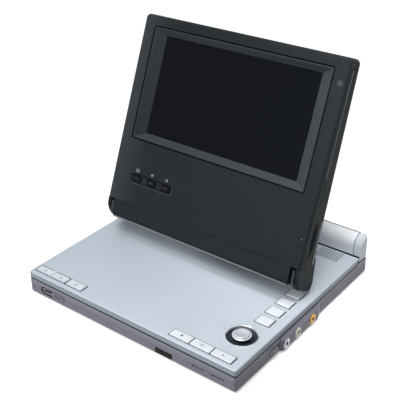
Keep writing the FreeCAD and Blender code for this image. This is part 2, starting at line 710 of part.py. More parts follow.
# Boards and battery
board = Piece("main_board")
board.pad("XY", f"{FLOOR_TOP} + 2", f"{FLOOR_TOP} + 3.2", box(
    f"{SIDE} - 43", f"{FRONT} + 124", f"{SIDE} - 13", f"{BACK} - 20"
))
board.pad("XY", f"{FLOOR_TOP} + 3.2", f"{FLOOR_TOP} + 4.6", *[
    centred(f"{SIDE} - 28", f"{FRONT} + 134 + {k}*14", "12", "9") for k in range(3)
])
board.pad("XY", FLOOR_TOP, f"{FLOOR_TOP} + 2", *[
    ring(f"{SIDE} - {x}", y, "2") for x in (17, 39) for y in (f"{FRONT} + 128", f"{BACK} - 24")
])
battery = Piece("battery_pack")
battery.pad("XZ", f"{FRONT} + 30", f"{FRONT} + 96", rounded(
    f"-{SIDE} + case_wall + 2", f"{FLOOR_TOP} + 0.3", f"-{SIDE} + case_wall + 22", f"{FLOOR_TOP} + 8", "3.4"
))

# Lid: the whole deck plate, with its keys; its rear underside is cut away round the hinge axis
RIGHT_KEY_X = [
    f"({SIDE} - right_key_inset - right_key_width/2 - {2 - k}*(right_key_width + right_key_gap))"
    for k in range(3)
]
KEY_Y = f"({FRONT} + key_inset)"
ROCKER_X = f"(-{SIDE} + left_key_inset + rocker_width/2)"
LEFT_KEY_X = f"(-{SIDE} + left_key_inset + rocker_width + left_key_gap + left_key_width/2)"
SIDE_KEY_X = f"({SIDE} - side_key_inset - side_key_width/2)"
SIDE_KEY_Y = [f"({FRONT} + side_key_start + side_key_depth/2 + {k}*side_key_pitch)" for k in range(4)]
KEYS = [
    ("front_left_key_1", ROCKER_X, KEY_Y, "rocker_width", "key_depth"),
    ("front_left_key_2", LEFT_KEY_X, KEY_Y, "left_key_width", "key_depth"),
]
KEYS += [
    (f"front_right_key_{k + 1}", x, KEY_Y, "right_key_width", "key_depth")
    for k, x in enumerate(RIGHT_KEY_X)
]
KEYS += [
    (f"side_key_{k + 1}", SIDE_KEY_X, y, "side_key_width", "side_key_depth")
    for k, y in enumerate(SIDE_KEY_Y)
]
STICK_X = f"({SIDE} - joystick_inset_x)"
STICK_Y = f"({FRONT} + joystick_inset_y)"
SPEAKER_X = f"({SIDE} - speaker_inset_x)"
SPEAKER_Y = f"({BAR_FRONT} - speaker_inset_y)"
SKIN_LOW = f"({DECK} - lid_skin)"

lid = Piece("deck_lid")
lid.pad("XY", LID_LOW, DECK, outline(
    (f"{SIDE} - corner_radius", FRONT), (SIDE, f"{FRONT} + corner_radius", "corner_radius"),
    (SIDE, LID_BACK), (f"-{SIDE}", LID_BACK),
    (f"-{SIDE}", f"{FRONT} + corner_radius"), (f"-{SIDE} + corner_radius", FRONT, "corner_radius"),
))
deck_level = value(DECK)
lid.soften("Chamfer", "lid_bevel", lid.rims(lambda p: abs(p.z - deck_level) < 0.01))
lid.cut("YZ", f"-{SIDE}", SIDE, outline(
    (f"{LID_AXIS_Y} + 0.4", f"{LID_LOW} - 1"), (f"{LID_BACK} + 1", f"{LID_LOW} - 1"),
    (f"{LID_BACK} + 1", f"{LID_AXIS_Z} + 2"), (LID_BACK, f"{LID_AXIS_Z} + 2"),
    (f"{LID_AXIS_Y} + 0.4", LID_LOW, "-12"),
))
lid.cut("XY", LID_LOW, SKIN_LOW, rounded(
    f"-{SIDE} + lid_edge", f"{FRONT} + lid_edge", f"{SIDE} - lid_edge", f"{LID_AXIS_Y} - 3.5", "1.5"
))
EAR_X = f"({SIDE} - lid_edge - 3.6)"
lid.cut("XY", LID_LOW, SKIN_LOW, box(
    f"-{EAR_X} + 5", f"{LID_AXIS_Y} - 4", f"{EAR_X} - 5", f"{LID_AXIS_Y} + 1.4"
))
for side in (-1, 1):
    lid.cut("XY", LID_LOW, f"{LID_AXIS_Z} + 2.2", centred(
        f"{side}*{EAR_X}", f"({LID_AXIS_Y} - 3.5 + {LID_BACK})/2", "3.6", f"({LID_BACK} - {LID_AXIS_Y} + 3.5)"
    ))
    lid.cut("YZ", f"{side}*{EAR_X} - 3.6", f"{side}*{EAR_X} + 3.6", ring(
        LID_AXIS_Y, LID_AXIS_Z, "0.9 + run_gap"
    ))
lid.cut("XY", SKIN_LOW, DECK, *[
    centred(x, y, f"{width} + 2*key_gap", f"{depth} + 2*key_gap") for _, x, y, width, depth in KEYS
])
lid.cut("XY", SKIN_LOW, DECK, ring(STICK_X, STICK_Y, "joystick_ring_radius - 0.5"))
FIRST_HOLE_Y = f"({SPEAKER_Y} - 2.5*grille_pitch)"
for side in (-1, 1):
    dots = lid.cut("XY", SKIN_LOW, DECK, *[
        hexagon(f"{side}*{SPEAKER_X} + {k}*grille_pitch", FIRST_HOLE_Y, "grille_hole") for k in range(-4, 5)
    ])
    lid.row([dots], "Y", "5*grille_pitch", 6)
lid.pad("XY", f"{LID_LOW} - 6", SKIN_LOW, centred("0", f"{HOOK_Y} - 1", "7", "1.6"))
lid.pad("YZ", "-3.5", "3.5", outline(
    (f"{HOOK_Y} - 0.4", f"{LID_LOW} - 6"), (f"{HOOK_Y} + 1", f"{LID_LOW} - 4.6"),
    (f"{HOOK_Y} - 0.4", f"{LID_LOW} - 4.2"),
))

liner = Piece("lid_liner")
liner.pad("XY", LID_LOW, f"{LID_LOW} + liner_sheet", rounded(
    f"-{SIDE} + lid_edge + fit_gap", f"{FRONT} + lid_edge + fit_gap",
    f"{SIDE} - lid_edge - fit_gap", f"{LID_AXIS_Y} - 3.6", "1.5",
))
liner.pad("XY", LID_LOW, f"{LID_LOW} + liner_sheet", box(
    f"-{EAR_X} + 5.2", f"{LID_AXIS_Y} - 6", f"{EAR_X} - 5.2", LID_AXIS_Y
))
liner.cut("XY", LID_LOW, f"{LID_LOW} + liner_sheet", centred("0", f"{HOOK_Y} - 0.6", "8", "5"))
liner.cut("XY", LID_LOW, f"{LID_LOW} + 0.4", ring("disc_x", "disc_y", "disc_recess_radius"))

pins = Piece("lid_hinge_pins")
for side in (-1, 1):
    low, high = f"{side}*{EAR_X} - 3.4", f"{side}*{EAR_X} + 3.4"
    pins.pad("YZ", low, high, ring(LID_AXIS_Y, LID_AXIS_Z, "0.9"))
    pins.pad("YZ", f"{side}*{EAR_X} - 1.4", f"{side}*{EAR_X} + 1.4", outline(
        (f"{LID_AXIS_Y} - 1.7", f"{WELL_TOP}"), (f"{LID_AXIS_Y} + 1.7", f"{WELL_TOP}"),
        (f"{LID_AXIS_Y} + 1.7", LID_AXIS_Z), (LID_AXIS_Y, f"{LID_AXIS_Z} + 1.7", "1.7"),
        (f"{LID_AXIS_Y} - 1.7", LID_AXIS_Z, "1.7"),
    ))

# Switch board under the keys, with a dome below each key
BOARD_TOP = f"({BOARD_LOW} + 0.8)"
key_board = Piece("key_board")
key_board.pad("XY", BOARD_LOW, BOARD_TOP, outline(
    (f"-{SIDE} + lid_edge + 1", f"{FRONT} + lid_edge + 1"),
    (f"{SIDE} - lid_edge - 1", f"{FRONT} + lid_edge + 1"),
    (f"{SIDE} - lid_edge - 1", f"{SIDE_KEY_Y[3]} + 8"), (f"{SIDE} - 34", f"{SIDE_KEY_Y[3]} + 8"),
    (f"{SIDE} - 34", f"{FRONT} + 16"), (f"-{SIDE} + lid_edge + 1", f"{FRONT} + 16"),
))
key_board.pad("XY", BOARD_TOP, f"{BOARD_TOP} + 0.3", *[
    ring(x, y, "2") for name, x, y, _, _ in KEYS if name != "front_left_key_1"
], *[ring(f"{ROCKER_X} + {side}*rocker_width/4", KEY_Y, "2") for side in (-1, 1)])
key_board.cut("XY", BOARD_LOW, BOARD_TOP, centred("0", f"{HOOK_Y} - 0.6", "8", "5"))

# Deck keys: each cap rises out of the skin, with a flange under it
FLANGE_TOP = f"({SKIN_LOW} - key_play)"
for label, x, y, width, depth in KEYS:
    key = Piece(label)
    flange = "6" if label == "front_left_key_1" else width
    key.pad("XY", f"{FLANGE_TOP} - 0.6", FLANGE_TOP, centred(x, y, flange, f"{depth} + key_flange"))
    key.pad("XY", FLANGE_TOP, f"{DECK} + key_proud", centred(x, y, width, depth))
    if label == "front_left_key_1":
        key.cut("XY", f"{DECK} + key_proud - 0.7", f"{DECK} + key_proud", *[
            centred(f"{x} + {side}*(rocker_width/4 + 0.6)", f"{y} + 0.3", "rocker_width/2 - 1.2", "key_depth")
            for side in (-1, 1)
        ])
        continue
    key_top = value(f"{DECK} + key_proud")
    key.soften("Chamfer", "0.35", key.rims(lambda p, top=key_top: abs(p.z - top) < 0.01))

# Joystick: a raised ring, a dark dish that presses, a gimbal and a stepped cap
stick_ring = Piece("joystick_ring")
stick_ring.turned(STICK_X, STICK_Y, [
    ("joystick_well_radius", f"{SKIN_LOW} - 0.4"), ("joystick_ring_radius - 0.5", f"{SKIN_LOW} - 0.4"),
    ("joystick_ring_radius - 0.5", DECK), ("joystick_ring_radius", DECK),
    ("joystick_ring_radius - 0.2", f"{DECK} + 0.5"), ("joystick_well_radius + 0.4", f"{DECK} + 0.5"),
    ("joystick_well_radius", f"{DECK} + 0.1"),
])
DISH_LOW = f"({BOARD_TOP} + 0.7)"
DISH_FLOOR = f"({BOARD_TOP} + 1.2)"
TILT_Z = f"({BOARD_TOP} + 2.3)"
dish = Piece("joystick_base")
dish.turned(STICK_X, STICK_Y, [
    ("0", DISH_LOW), ("joystick_well_radius - 0.3", DISH_LOW),
    ("joystick_well_radius - 0.3", DISH_FLOOR), ("5", DISH_FLOOR),
    ("5", f"{TILT_Z} + 0.4"), ("4.4", f"{TILT_Z} + 0.4"), ("4.4", DISH_FLOOR), ("0", DISH_FLOOR),
])
gimbal = Piece("joystick_gimbal")
gimbal.turned(STICK_X, STICK_Y, [
    ("2.7", f"{TILT_Z} - 0.3"), ("4", f"{TILT_Z} - 0.3"),
    ("4", f"{TILT_Z} + 0.3"), ("2.7", f"{TILT_Z} + 0.3"),
])
cap = Piece("joystick_cap")
CAP_LOW = f"({DECK} + 0.5)"
cap.turned(STICK_X, STICK_Y, [
    ("0", f"{TILT_Z} - 0.5"), ("1.8", f"{TILT_Z} - 0.5"), ("1.8", f"{TILT_Z} + 0.8"),
    ("4", CAP_LOW), ("joystick_cap_radius - 0.3", CAP_LOW), ("joystick_cap_radius", f"{CAP_LOW} + 0.4"),
    ("joystick_cap_radius", f"{CAP_LOW} + 0.9"), ("joystick_cap_radius - 0.5", f"{CAP_LOW} + 1.3"),
    ("joystick_cap_radius - 1.2", f"{CAP_LOW} + 1.3"), ("joystick_cap_radius - 1.2", f"{CAP_LOW} + 0.7"),
    ("joystick_cap_radius - 1.7", f"{CAP_LOW} + 0.7"), ("joystick_cap_radius - 1.7", f"{CAP_LOW} + 1.7"),
    ("joystick_cap_radius - 2.1", f"{CAP_LOW} + 2.1"), ("joystick_cap_radius - 2.6", f"{CAP_LOW} + 2.1"),
    ("1", f"{CAP_LOW} + 1.6", "-24"), ("0", f"{CAP_LOW} + 1.6"),
])

# Speakers under the hole patterns
speakers = Piece("speakers")
for side in (-1, 1):
    speakers.turned(f"{side}*{SPEAKER_X}", f"{LID_AXIS_Y} + 1 - speaker_radius", [
        ("0", f"{LID_LOW} + liner_sheet + 0.2"), ("6", f"{LID_LOW} + liner_sheet + 0.2"),
        ("6", f"{LID_LOW} + liner_sheet + 1"), ("speaker_radius", f"{LID_LOW} + liner_sheet + 1.6"),
        ("speaker_radius", f"{SKIN_LOW} - 0.2"), ("0", f"{SKIN_LOW} - 0.2"),
    ])

# Lid catch: a bent spring strip behind the front wall that the lid's hook snaps past
catch = Piece("lid_catch")
catch.pad("YZ", "-4", "4", outline(
    (f"{HOOK_Y} + 2.4", FLOOR_TOP), (f"{HOOK_Y} + 6", FLOOR_TOP), (f"{HOOK_Y} + 6", f"{FLOOR_TOP} + 0.6"),
    (f"{HOOK_Y} + 3", f"{FLOOR_TOP} + 0.6"), (f"{HOOK_Y} + 3", f"{LID_LOW} - 3.4"),
    (f"{HOOK_Y} + 1.6", f"{LID_LOW} - 2.8"), (f"{HOOK_Y} + 1.4", f"{LID_LOW} - 3.4"),
    (f"{HOOK_Y} + 2.4", f"{LID_LOW} - 4"),
))

# Rear bar: silver moulding on the case, with a tower at each end and a saddle for the arm
SADDLE = "(arm_width/2 + free_gap)"
SADDLE_Z = "(hinge_level - barrel_radius - 0.6)"
BAR_X = f"({SIDE} - bar_end_length)"
bar = Piece("rear_bar")
bar.pad("YZ", f"-{BAR_X}", BAR_X, d_profile("0"))
for low, high in both_sides(f"{SADDLE} + bar_wall", f"{BAR_X} - bar_wall"):
    bar.cut("YZ", low, high, outline(
        (f"{BACK} - bar_wall", f"{SEAM} + 0.2"), (f"{BACK} - bar_wall", f"{BAR_TOP} - bar_wall"),
        (f"{BAR_FRONT} + bar_curve", f"{BAR_TOP} - bar_wall"),
        (f"{BAR_FRONT} + bar_wall", f"{BAR_TOP} - bar_curve", "bar_curve - bar_wall"),
        (f"{BAR_FRONT} + bar_wall", f"{SEAM} + 0.2"),
    ))
for low, high in both_sides(f"{SADDLE} + bar_wall", f"{SADDLE} + bar_wall + 6.4"):
    bar.cut("YZ", low, high, ring(HINGE_Y, "hinge_level", "2.5"))
bar.cut("YZ", f"-{SADDLE}", SADDLE, box(
    f"{BAR_FRONT} + bar_wall", f"{SEAM} + 0.2", f"{BACK} - bar_wall", f"{SADDLE_Z} - bar_wall"
))
bar.cut("YZ", f"-{SADDLE}", SADDLE, box(BAR_FRONT, SADDLE_Z, BACK, BAR_TOP))
bar.cut("YZ", f"-{SADDLE} - bar_wall", f"{SADDLE} + bar_wall", ring(
    HINGE_Y, "hinge_level", "shaft_radius + free_gap"
))

ends = Piece("bar_end_caps")
for low, high in both_sides(f"{BAR_X} + bar_seam", SIDE):
    ends.pad("YZ", low, high, d_profile("0"))
side_x = value(SIDE)
ends.soften("Chamfer", "bar_end_bevel", ends.rims(lambda p: abs(abs(p.x) - side_x) < 0.01))

brackets = Piece("hinge_brackets")
BRACKET_X = f"({SADDLE} + bar_wall + 0.6)"
for low, high in both_sides(BRACKET_X, f"{BRACKET_X} + 5"):
    brackets.pad("YZ", low, high, outline(
        (f"{HINGE_Y} - 3.6", f"{SEAM} - 4"), (f"{HINGE_Y} + 3.6", f"{SEAM} - 4"),
        (f"{HINGE_Y} + 2.2", "hinge_level"), (HINGE_Y, "hinge_level + 2.2", "2.2"),
        (f"{HINGE_Y} - 2.2", "hinge_level", "2.2"),
    ))
    brackets.cut("YZ", low, high, ring(HINGE_Y, "hinge_level", "shaft_radius + run_gap"))
    brackets.pad("XY", FLOOR_TOP, f"{SEAM} - 4", centred(f"({low} + {high})/2", HINGE_Y, "5", "9"))

# Support arm, drawn flat: its lower hinge is on the X axis and its upper hinge is along +Y
ARM_Y = f"({HINGE_Y})"
ARM_Z = "hinge_level"
ARM_TURN = "180 - arm_angle"
ARM_HALF = "(arm_width/2)"


def arm_piece(label):
    piece = Piece(label)
    piece.place(ARM_Y, ARM_Z, ARM_TURN)
    return piece


arm = arm_piece("arm_cover")
arm.pad("XY", "-arm_depth", "-arm_front_gap", outline(
    (f"-{ARM_HALF}", "0"), (ARM_HALF, "0"), (f"{ARM_HALF}", "arm_length"), (f"-{ARM_HALF}", "arm_length"),
))
arm_back = value("-arm_depth")
arm.soften("Chamfer", "1", arm.edges("y", lambda m: abs(m.z - arm_back) < 0.01))
arm.cut("XY", "-arm_depth + 1.4", "-arm_front_gap", rounded(
    f"-{ARM_HALF} + 1.6", "barrel_radius + 2", f"{ARM_HALF} - 1.6", "arm_length - barrel_radius - 2", "3"
))
BOTH_AXES = ("0", "arm_length")
arm.pad("YZ", f"-{ARM_HALF}", ARM_HALF, *[ring(y, "0", "barrel_radius") for y in BOTH_AXES])
arm.cut("YZ", f"-{ARM_HALF}", ARM_HALF, *[ring(y, "0", "shaft_radius") for y in BOTH_AXES])

arm_frame = arm_piece("arm_frame")
arm_frame.pad("XY", "-arm_front_gap - 1.6", "-arm_front_gap - 0.2", rounded(
    f"-{ARM_HALF} + 1.6", "barrel_radius + 2", f"{ARM_HALF} - 1.6", "arm_length - barrel_radius - 2", "3"
))
arm_frame.cut("XY", "-arm_front_gap - 1.6", "-arm_front_gap - 0.2", *[
    rounded(f"{x}", "22", f"{x} + 20", "arm_length - 22", "4") for x in (-34, -10, 14)
])

shafts = arm_piece("arm_shafts")
for low, high in both_sides(f"{ARM_HALF} - 16", f"{ARM_HALF} + shaft_reach"):
    shafts.pad("YZ", low, high, *[ring(y, "0", "shaft_radius") for y in BOTH_AXES])

# Screen unit, drawn flat: X across, Y up from its lower edge, its front face at level 0
PIVOT_Y = f"({HINGE_Y} - arm_length*cos(arm_angle))"
PIVOT_Z = "(hinge_level + arm_length*sin(arm_angle))"
SCREEN_Y = f"({PIVOT_Y} - pivot_height*sin(screen_lean) - pivot_depth*cos(screen_lean))"
SCREEN_Z = f"({PIVOT_Z} - pivot_height*cos(screen_lean) + pivot_depth*sin(screen_lean))"
HALF = "(screen_width/2)"
PIC_TOP = "(picture_bottom + picture_height)"
PIC_SIDE = "(picture_width/2)"


def screen_piece(label):
    piece = Piece(label)
    piece.place(SCREEN_Y, SCREEN_Z, "90 - screen_lean")
    return piece


def frame_outline(grow_x, grow_y):
    """The picture's outline, grown sideways and up and down."""
    return box(
        f"-{PIC_SIDE} - ({grow_x})", f"picture_bottom - ({grow_y})",
        f"{PIC_SIDE} + ({grow_x})", f"{PIC_TOP} + ({grow_y})",
    )


def rear_depth(height):
    """How far the sloping back of the screen unit lies behind its front face at a height."""
    return f"(screen_depth_low - (screen_depth_low - screen_depth_top)*({height})/screen_height)"


def key_outline(x, grow):
    """The outline of one of the screen's keys, grown on every side."""
    half_wide, half_high = f"(screen_key_width/2 + {grow})", f"(screen_key_height/2 + {grow})"
    return rounded(
        f"{x} - {half_wide}", f"screen_key_level - {half_high}",
        f"{x} + {half_wide}", f"screen_key_level + {half_high}", "0.9"
    )


KEY_SPOTS = [f"(-{HALF} + screen_key_first + {k}*screen_key_pitch)" for k in range(3)]
STRIP_TOP = "(strip_height + 0.4)"
bezel = screen_piece("screen_bezel")
bezel.pad("XY", "-screen_split", "-screen_split + seam_width", box(
    f"-{HALF} + seam_sunk", STRIP_TOP, f"{HALF} - seam_sunk", "screen_height - seam_sunk"
))
bezel.pad("XY", "-screen_split + seam_width", "0", outline(
    (HALF, STRIP_TOP), (HALF, "screen_height - screen_corner"),
    (f"{HALF} - screen_corner", "screen_height", "screen_corner"),
    (f"-{HALF} + screen_corner", "screen_height"),
    (f"-{HALF}", "screen_height - screen_corner", "screen_corner"), (f"-{HALF}", STRIP_TOP),
))
bezel_side, bezel_low = value(HALF), value(STRIP_TOP)
bezel.soften("Fillet", "screen_round", bezel.rims(
    lambda p: abs(p.z) < 0.01 and (p.y > bezel_low + 1 or abs(p.x) > bezel_side - 0.01)
))
bezel.cut("XY", "-screen_split", "-screen_wall", box(
    f"-{HALF} + screen_wall", f"{STRIP_TOP}", f"{HALF} - screen_wall", "screen_height - screen_wall"
))
bezel.cut("XY", "-screen_wall", "0", rounded(
    f"-{PIC_SIDE} - border_side", "picture_bottom - border_top",
    f"{PIC_SIDE} + border_side", f"{PIC_TOP} + border_top", "1.3"
))
bezel.cut("XY", "-0.9", "0", pill(KEY_SPOTS[1], "screen_key_level", "key_tray_width", "key_tray_height"))
bezel.cut("XY", "-screen_wall", "-0.9", *[key_outline(x, "0.6") for x in KEY_SPOTS])
BOARD_X = (f"(-{HALF} + 6)", f"(-{HALF} + 72)")
BOARD_Y = ("(screen_key_level - 11)", "(picture_bottom - 6)")
bezel.pad("XY", "-board_front", "-screen_wall", *[
    ring(x, y, "1.6")
    for x in (f"{BOARD_X[0]} + 3", f"{BOARD_X[1]} - 3") for y in (f"{BOARD_Y[0]} + 3", f"{BOARD_Y[1]} - 3")
])
BUMPER_SPOTS = [(f"{side}*({HALF} - 5.4)", "screen_height - 20.4") for side in (-1, 1)]
bezel.cut("XY", "-1", "0", *[ring(x, y, "bumper_radius") for x, y in BUMPER_SPOTS])

bevel = screen_piece("bevel_frame")
bevel.loft(
    "AdditiveLoft", "-picture_sunk - 0.2", frame_outline("1.4", "1.4"),
    "-0.3", frame_outline("border_side - 0.6", "border_top - 0.6"),
)
bevel.loft(
    "SubtractiveLoft", "-picture_sunk - 0.2", frame_outline("-0.1", "-0.1"),
    "-0.3", frame_outline("border_side - 1.6", "border_top - 1.6"),
)

strip = screen_piece("lower_strip")
strip.pad("XY", "-screen_split", "0", box(
    f"-{HALF} + strip_inset", "0", f"{HALF} - strip_inset", "strip_height"
))
strip.soften("Fillet", "3", strip.edges("x", lambda m: abs(m.y) < 0.01 and abs(m.z) < 0.01))
strip.cut("XY", "-screen_split", "-screen_wall", box(
    f"-{HALF} + strip_inset + 1.8", "3.4", f"{HALF} - strip_inset - 1.8", "strip_height"
))

panel = screen_piece("lcd_panel")
PANEL_FRONT = "(-picture_sunk - 0.3)"
panel.pad("XY", f"{PANEL_FRONT} - panel_sheet", PANEL_FRONT, frame_outline("2", "2"))
lcd_frame = screen_piece("lcd_frame")
lcd_frame.pad("XY", f"{PANEL_FRONT} - panel_sheet - 0.8", f"{PANEL_FRONT} - 0.6", frame_outline("2.9", "2.9"))
lcd_frame.cut("XY", f"{PANEL_FRONT} - panel_sheet", f"{PANEL_FRONT} - 0.6", frame_outline("2.1", "2.1"))

# Rear cover: a shell that grows deeper downwards, with the bay that the arm folds into, open
# at its lower edge; a cheek at each lower corner runs down and back into a rounded heel
BAY = "(arm_width/2 + free_gap)"
BAY_TOP = "(pivot_height + arm_depth + free_gap)"
BAY_FLOOR = "(-pivot_depth + 0.2)"
COVER_FRONT = "(-screen_split - 0.15)"
HOOK_SEAT = "(-screen_split - 2.6)"
HOOK_IN = "(hook_inset + hook_width)"
rear = screen_piece("rear_cover")
rear.pad("YZ", f"-{HALF}", HALF, outline(
    ("0", f"-{rear_depth('0')}"), ("screen_height", f"-{rear_depth('screen_height')}"),
    ("screen_height", COVER_FRONT), ("0", COVER_FRONT),
))
screen_middle = value("screen_height/2")
rear.soften("Fillet", "screen_corner", rear.edges("z", lambda m: m.y > screen_middle))
depth_low, depth_top, tall = value("screen_depth_low"), value("screen_depth_top"), value("screen_height")
rear.soften("Fillet", "2.5", rear.rims(
    lambda p: abs(p.z + depth_low - (depth_low - depth_top) * p.y / tall) < 0.01
))
rear.cut("YZ", f"-{HALF} + screen_wall", f"{HALF} - screen_wall", outline(
    ("screen_wall", f"-{rear_depth('screen_wall')} + screen_wall"),
    ("screen_height - screen_wall", f"-{rear_depth('screen_height - screen_wall')} + screen_wall"),
    ("screen_height - screen_wall", COVER_FRONT), ("screen_wall", COVER_FRONT),
))
rear.pad("YZ", f"-{BAY} - 1.4", f"{BAY} + 1.4", outline(
    ("0.6", f"-{rear_depth('0.6')} + 0.6"), (f"{BAY_TOP} + 1.4", f"-{rear_depth(BAY_TOP)} + 0.6"),
    (f"{BAY_TOP} + 1.4", f"{BAY_FLOOR} + 1"), ("0.6", f"{BAY_FLOOR} + 1"),
))
rear.pad("XY", f"{BAY_FLOOR}", "-pivot_depth + barrel_radius + 0.9", centred(
    "0", "pivot_height", f"2*{BAY} + 2.8", "2*barrel_radius + 3.4"
))
for y in ("(picture_bottom + 12)", f"({PIC_TOP} - 12)"):
    rear.pad("XY", f"-{rear_depth(y)} + screen_wall/2", f"{PANEL_FRONT} - panel_sheet - 0.8", *[
        ring(f"{side}*({PIC_SIDE} - 8)", y, "2.5") for side in (-1, 1)
    ])
for low, high in both_sides(f"{HALF} - strip_inset", f"{HALF} - 1"):
    rear.pad("XY", f"{HOOK_SEAT} - 3", COVER_FRONT, box(low, "1", high, "strip_height - 0.4"))
for low, high in both_sides(f"{HALF} - {HOOK_IN} - 1", f"{HALF} - cheek_width"):
    rear.cut("XY", HOOK_SEAT, COVER_FRONT, box(low, "0", high, "strip_height - 1.6"))
    rear.pad("YZ", low, high, outline(
        ("9", f"{HOOK_SEAT} - 9"), ("-4.2", f"{HOOK_SEAT} - 9"), ("-5", f"{HOOK_SEAT} - 14.7"),
        ("-2.4", "-screen_depth_low - 2.6", "3"), ("1.5", "-screen_depth_low - 3.2"),
        ("20", f"-{rear_depth('20')} + 0.2"),
    ))
for low, high in both_sides(f"{HALF} - cheek_width", HALF):
    rear.pad("YZ", low, high, outline(
        ("strip_height", "-1"), ("8", "-1.6"), ("-4.4", "-screen_split - 8.3", "22"),
        ("-5.4", "-screen_depth_low + 0.4"), ("-2.8", "-screen_depth_low - 3", "3.2"),
        ("1.5", "-screen_depth_low - 3.6"), ("22", f"-{rear_depth('22')}"), ("22", COVER_FRONT),
        ("strip_height", COVER_FRONT),
    ))
rear.cut("XY", "-screen_depth_low - 6", BAY_FLOOR, box(f"-{BAY}", "-8", BAY, BAY_TOP))
rear.cut("YZ", f"-{BAY}", BAY, ring("pivot_height", "-pivot_depth", "barrel_radius + 0.3"))
rear.cut("YZ", f"-{BAY} - 1.4", f"{BAY} + 1.4", ring(
    "pivot_height", "-pivot_depth", "shaft_radius + free_gap"
))

# Card slot in a lens-shaped finger scoop in the right side, and the seat of the trim behind it
SLOT_Z = "(-screen_split - 3.6)"
TRIM_OUTLINE = outline(
    ("17.5", f"-{rear_depth('17.5')} + 2.9"), ("53", f"-{rear_depth('53')} + 2.9"),
    ("53", f"-{rear_depth('53')} + 5.2"), ("17.5", f"-{rear_depth('17.5')} + 5.2"),
)
rear.cut("YZ", f"{HALF} - 1.2", HALF, outline(
    ("card_slot_level - scoop_length/2", SLOT_Z, "scoop_curve"),
    ("card_slot_level + scoop_length/2", SLOT_Z, "scoop_curve"),
))
rear.cut("YZ", f"{HALF} - screen_wall", HALF, centred("card_slot_level", SLOT_Z, "card_slot_length", "2.6"))
rear.cut("YZ", f"{HALF} - 0.5", HALF, TRIM_OUTLINE)

pivots = screen_piece("screen_hinge_brackets")
for low, high in both_sides(f"{BAY} + 1.6", f"{BAY} + 6.6"):
    pivots.pad("YZ", low, high, outline(
        ("pivot_height - 12", f"-{rear_depth('pivot_height - 12')} + screen_wall"),
        ("pivot_height + 12", f"-{rear_depth('pivot_height + 12')} + screen_wall"),
        ("pivot_height + 3", "-pivot_depth + 2.4"), ("pivot_height - 3", "-pivot_depth + 2.4"),
    ))
    pivots.cut("YZ", low, high, ring("pivot_height", "-pivot_depth", "shaft_radius + run_gap"))

# Board behind the three keys
screen_board = screen_piece("screen_board")
screen_board.pad("XY", "-board_front - 1.2", "-board_front", box(
    BOARD_X[0], BOARD_Y[0], BOARD_X[1], BOARD_Y[1]
))
CHIP_Y = f"(({BOARD_Y[0]} + {BOARD_Y[1]})/2 + 4)"
screen_board.pad("XY", "-board_front - 2.8", "-board_front - 1.2", *[
    centred(f"{BOARD_X[0]} + 14 + {k}*19", CHIP_Y, "11", "11") for k in range(3)
])

# Card reader behind the slot in the screen's right side
card = screen_piece("card_socket")
card.pad("XY", f"{SLOT_Z} - 2.2", f"{SLOT_Z} + 2.2", box(
    f"{HALF} - 31", "card_slot_level - card_slot_length/2 - 1.6",
    f"{HALF} - screen_wall - 0.1", "card_slot_level + card_slot_length/2 + 1.6",
))
card.cut("XY", f"{SLOT_Z} - 1.2", f"{SLOT_Z} + 1.2", box(
    f"{HALF} - 29", "card_slot_level - card_slot_length/2 + 0.4",
    f"{HALF} - screen_wall - 0.1", "card_slot_level + card_slot_length/2 - 0.4",
))

# Bumpers in the upper corners
bumpers = screen_piece("bumpers")
bumpers.pad("XY", "-1", "0.4", *[ring(x, y, "bumper_radius") for x, y in BUMPER_SPOTS])
bumpers.soften("Chamfer", "0.5", bumpers.rims(lambda p: abs(p.z - 0.4) < 0.01))

# Grey trim: a hook at each lower corner, the rail under the strip, and a band by the card slot
trim = screen_piece("screen_trim")
for low, high in both_sides(f"{HALF} - {HOOK_IN}", f"{HALF} - hook_inset"):
    trim.pad("YZ", low, high, outline(
        ("12.5", "-1.6"), ("2.6", "-2.6"), ("-5.6", "-17.6", "19"), ("-3.8", "-17.6"),
        ("3.6", "-4.6", "-17"), ("6.5", HOOK_SEAT), ("12.5", HOOK_SEAT),
    ))
trim.pad("XY", "-screen_split + 0.6", "-1.4", box(
    f"-{HALF} + strip_inset + 1", "-1.1", f"{HALF} - strip_inset - 1", "0"
))
trim.pad("YZ", f"{HALF} - 0.5", f"{HALF} + 0.3", TRIM_OUTLINE)

# Three small keys under the picture
for k, x in enumerate(KEY_SPOTS, start=1):
    key = screen_piece(f"screen_key_{k}")
    key.pad("XY", "-screen_wall - key_play - 0.5", "-screen_wall - key_play", key_outline(x, "1.2"))
    key.pad("XY", "-screen_wall - key_play", "-0.1", key_outline(x, "0"))

doc.recompute()

# Check every object before anything is written
pieces = [o for o in doc.Objects if o.isDerivedFrom("PartDesign::Body")]
for item in doc.Objects:
    if "Invalid" in item.State or "Error" in item.State:
        raise RuntimeError(f"{item.Name} failed: {item.State}")
for item in doc.Objects:
    if item.isDerivedFrom("PartDesign::Pocket") and item.BaseFeature:
        if item.Shape.Volume > item.BaseFeature.Shape.Volume - 1e-4:
            raise RuntimeError(f"{item.Name} cuts nothing")
for piece in pieces:
    if piece.Shape.isNull() or not piece.Shape.isValid():
        raise RuntimeError(f"{piece.Label} has no valid shape")

os.makedirs("parts", exist_ok=True)
for piece in pieces:
    piece.Shape.exportStep(f"parts/{piece.Label}.step")
print(len(pieces), "pieces written")
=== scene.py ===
from math import cos, pi, radians, sin

import bmesh
import bpy
from mathutils import Matrix, Vector


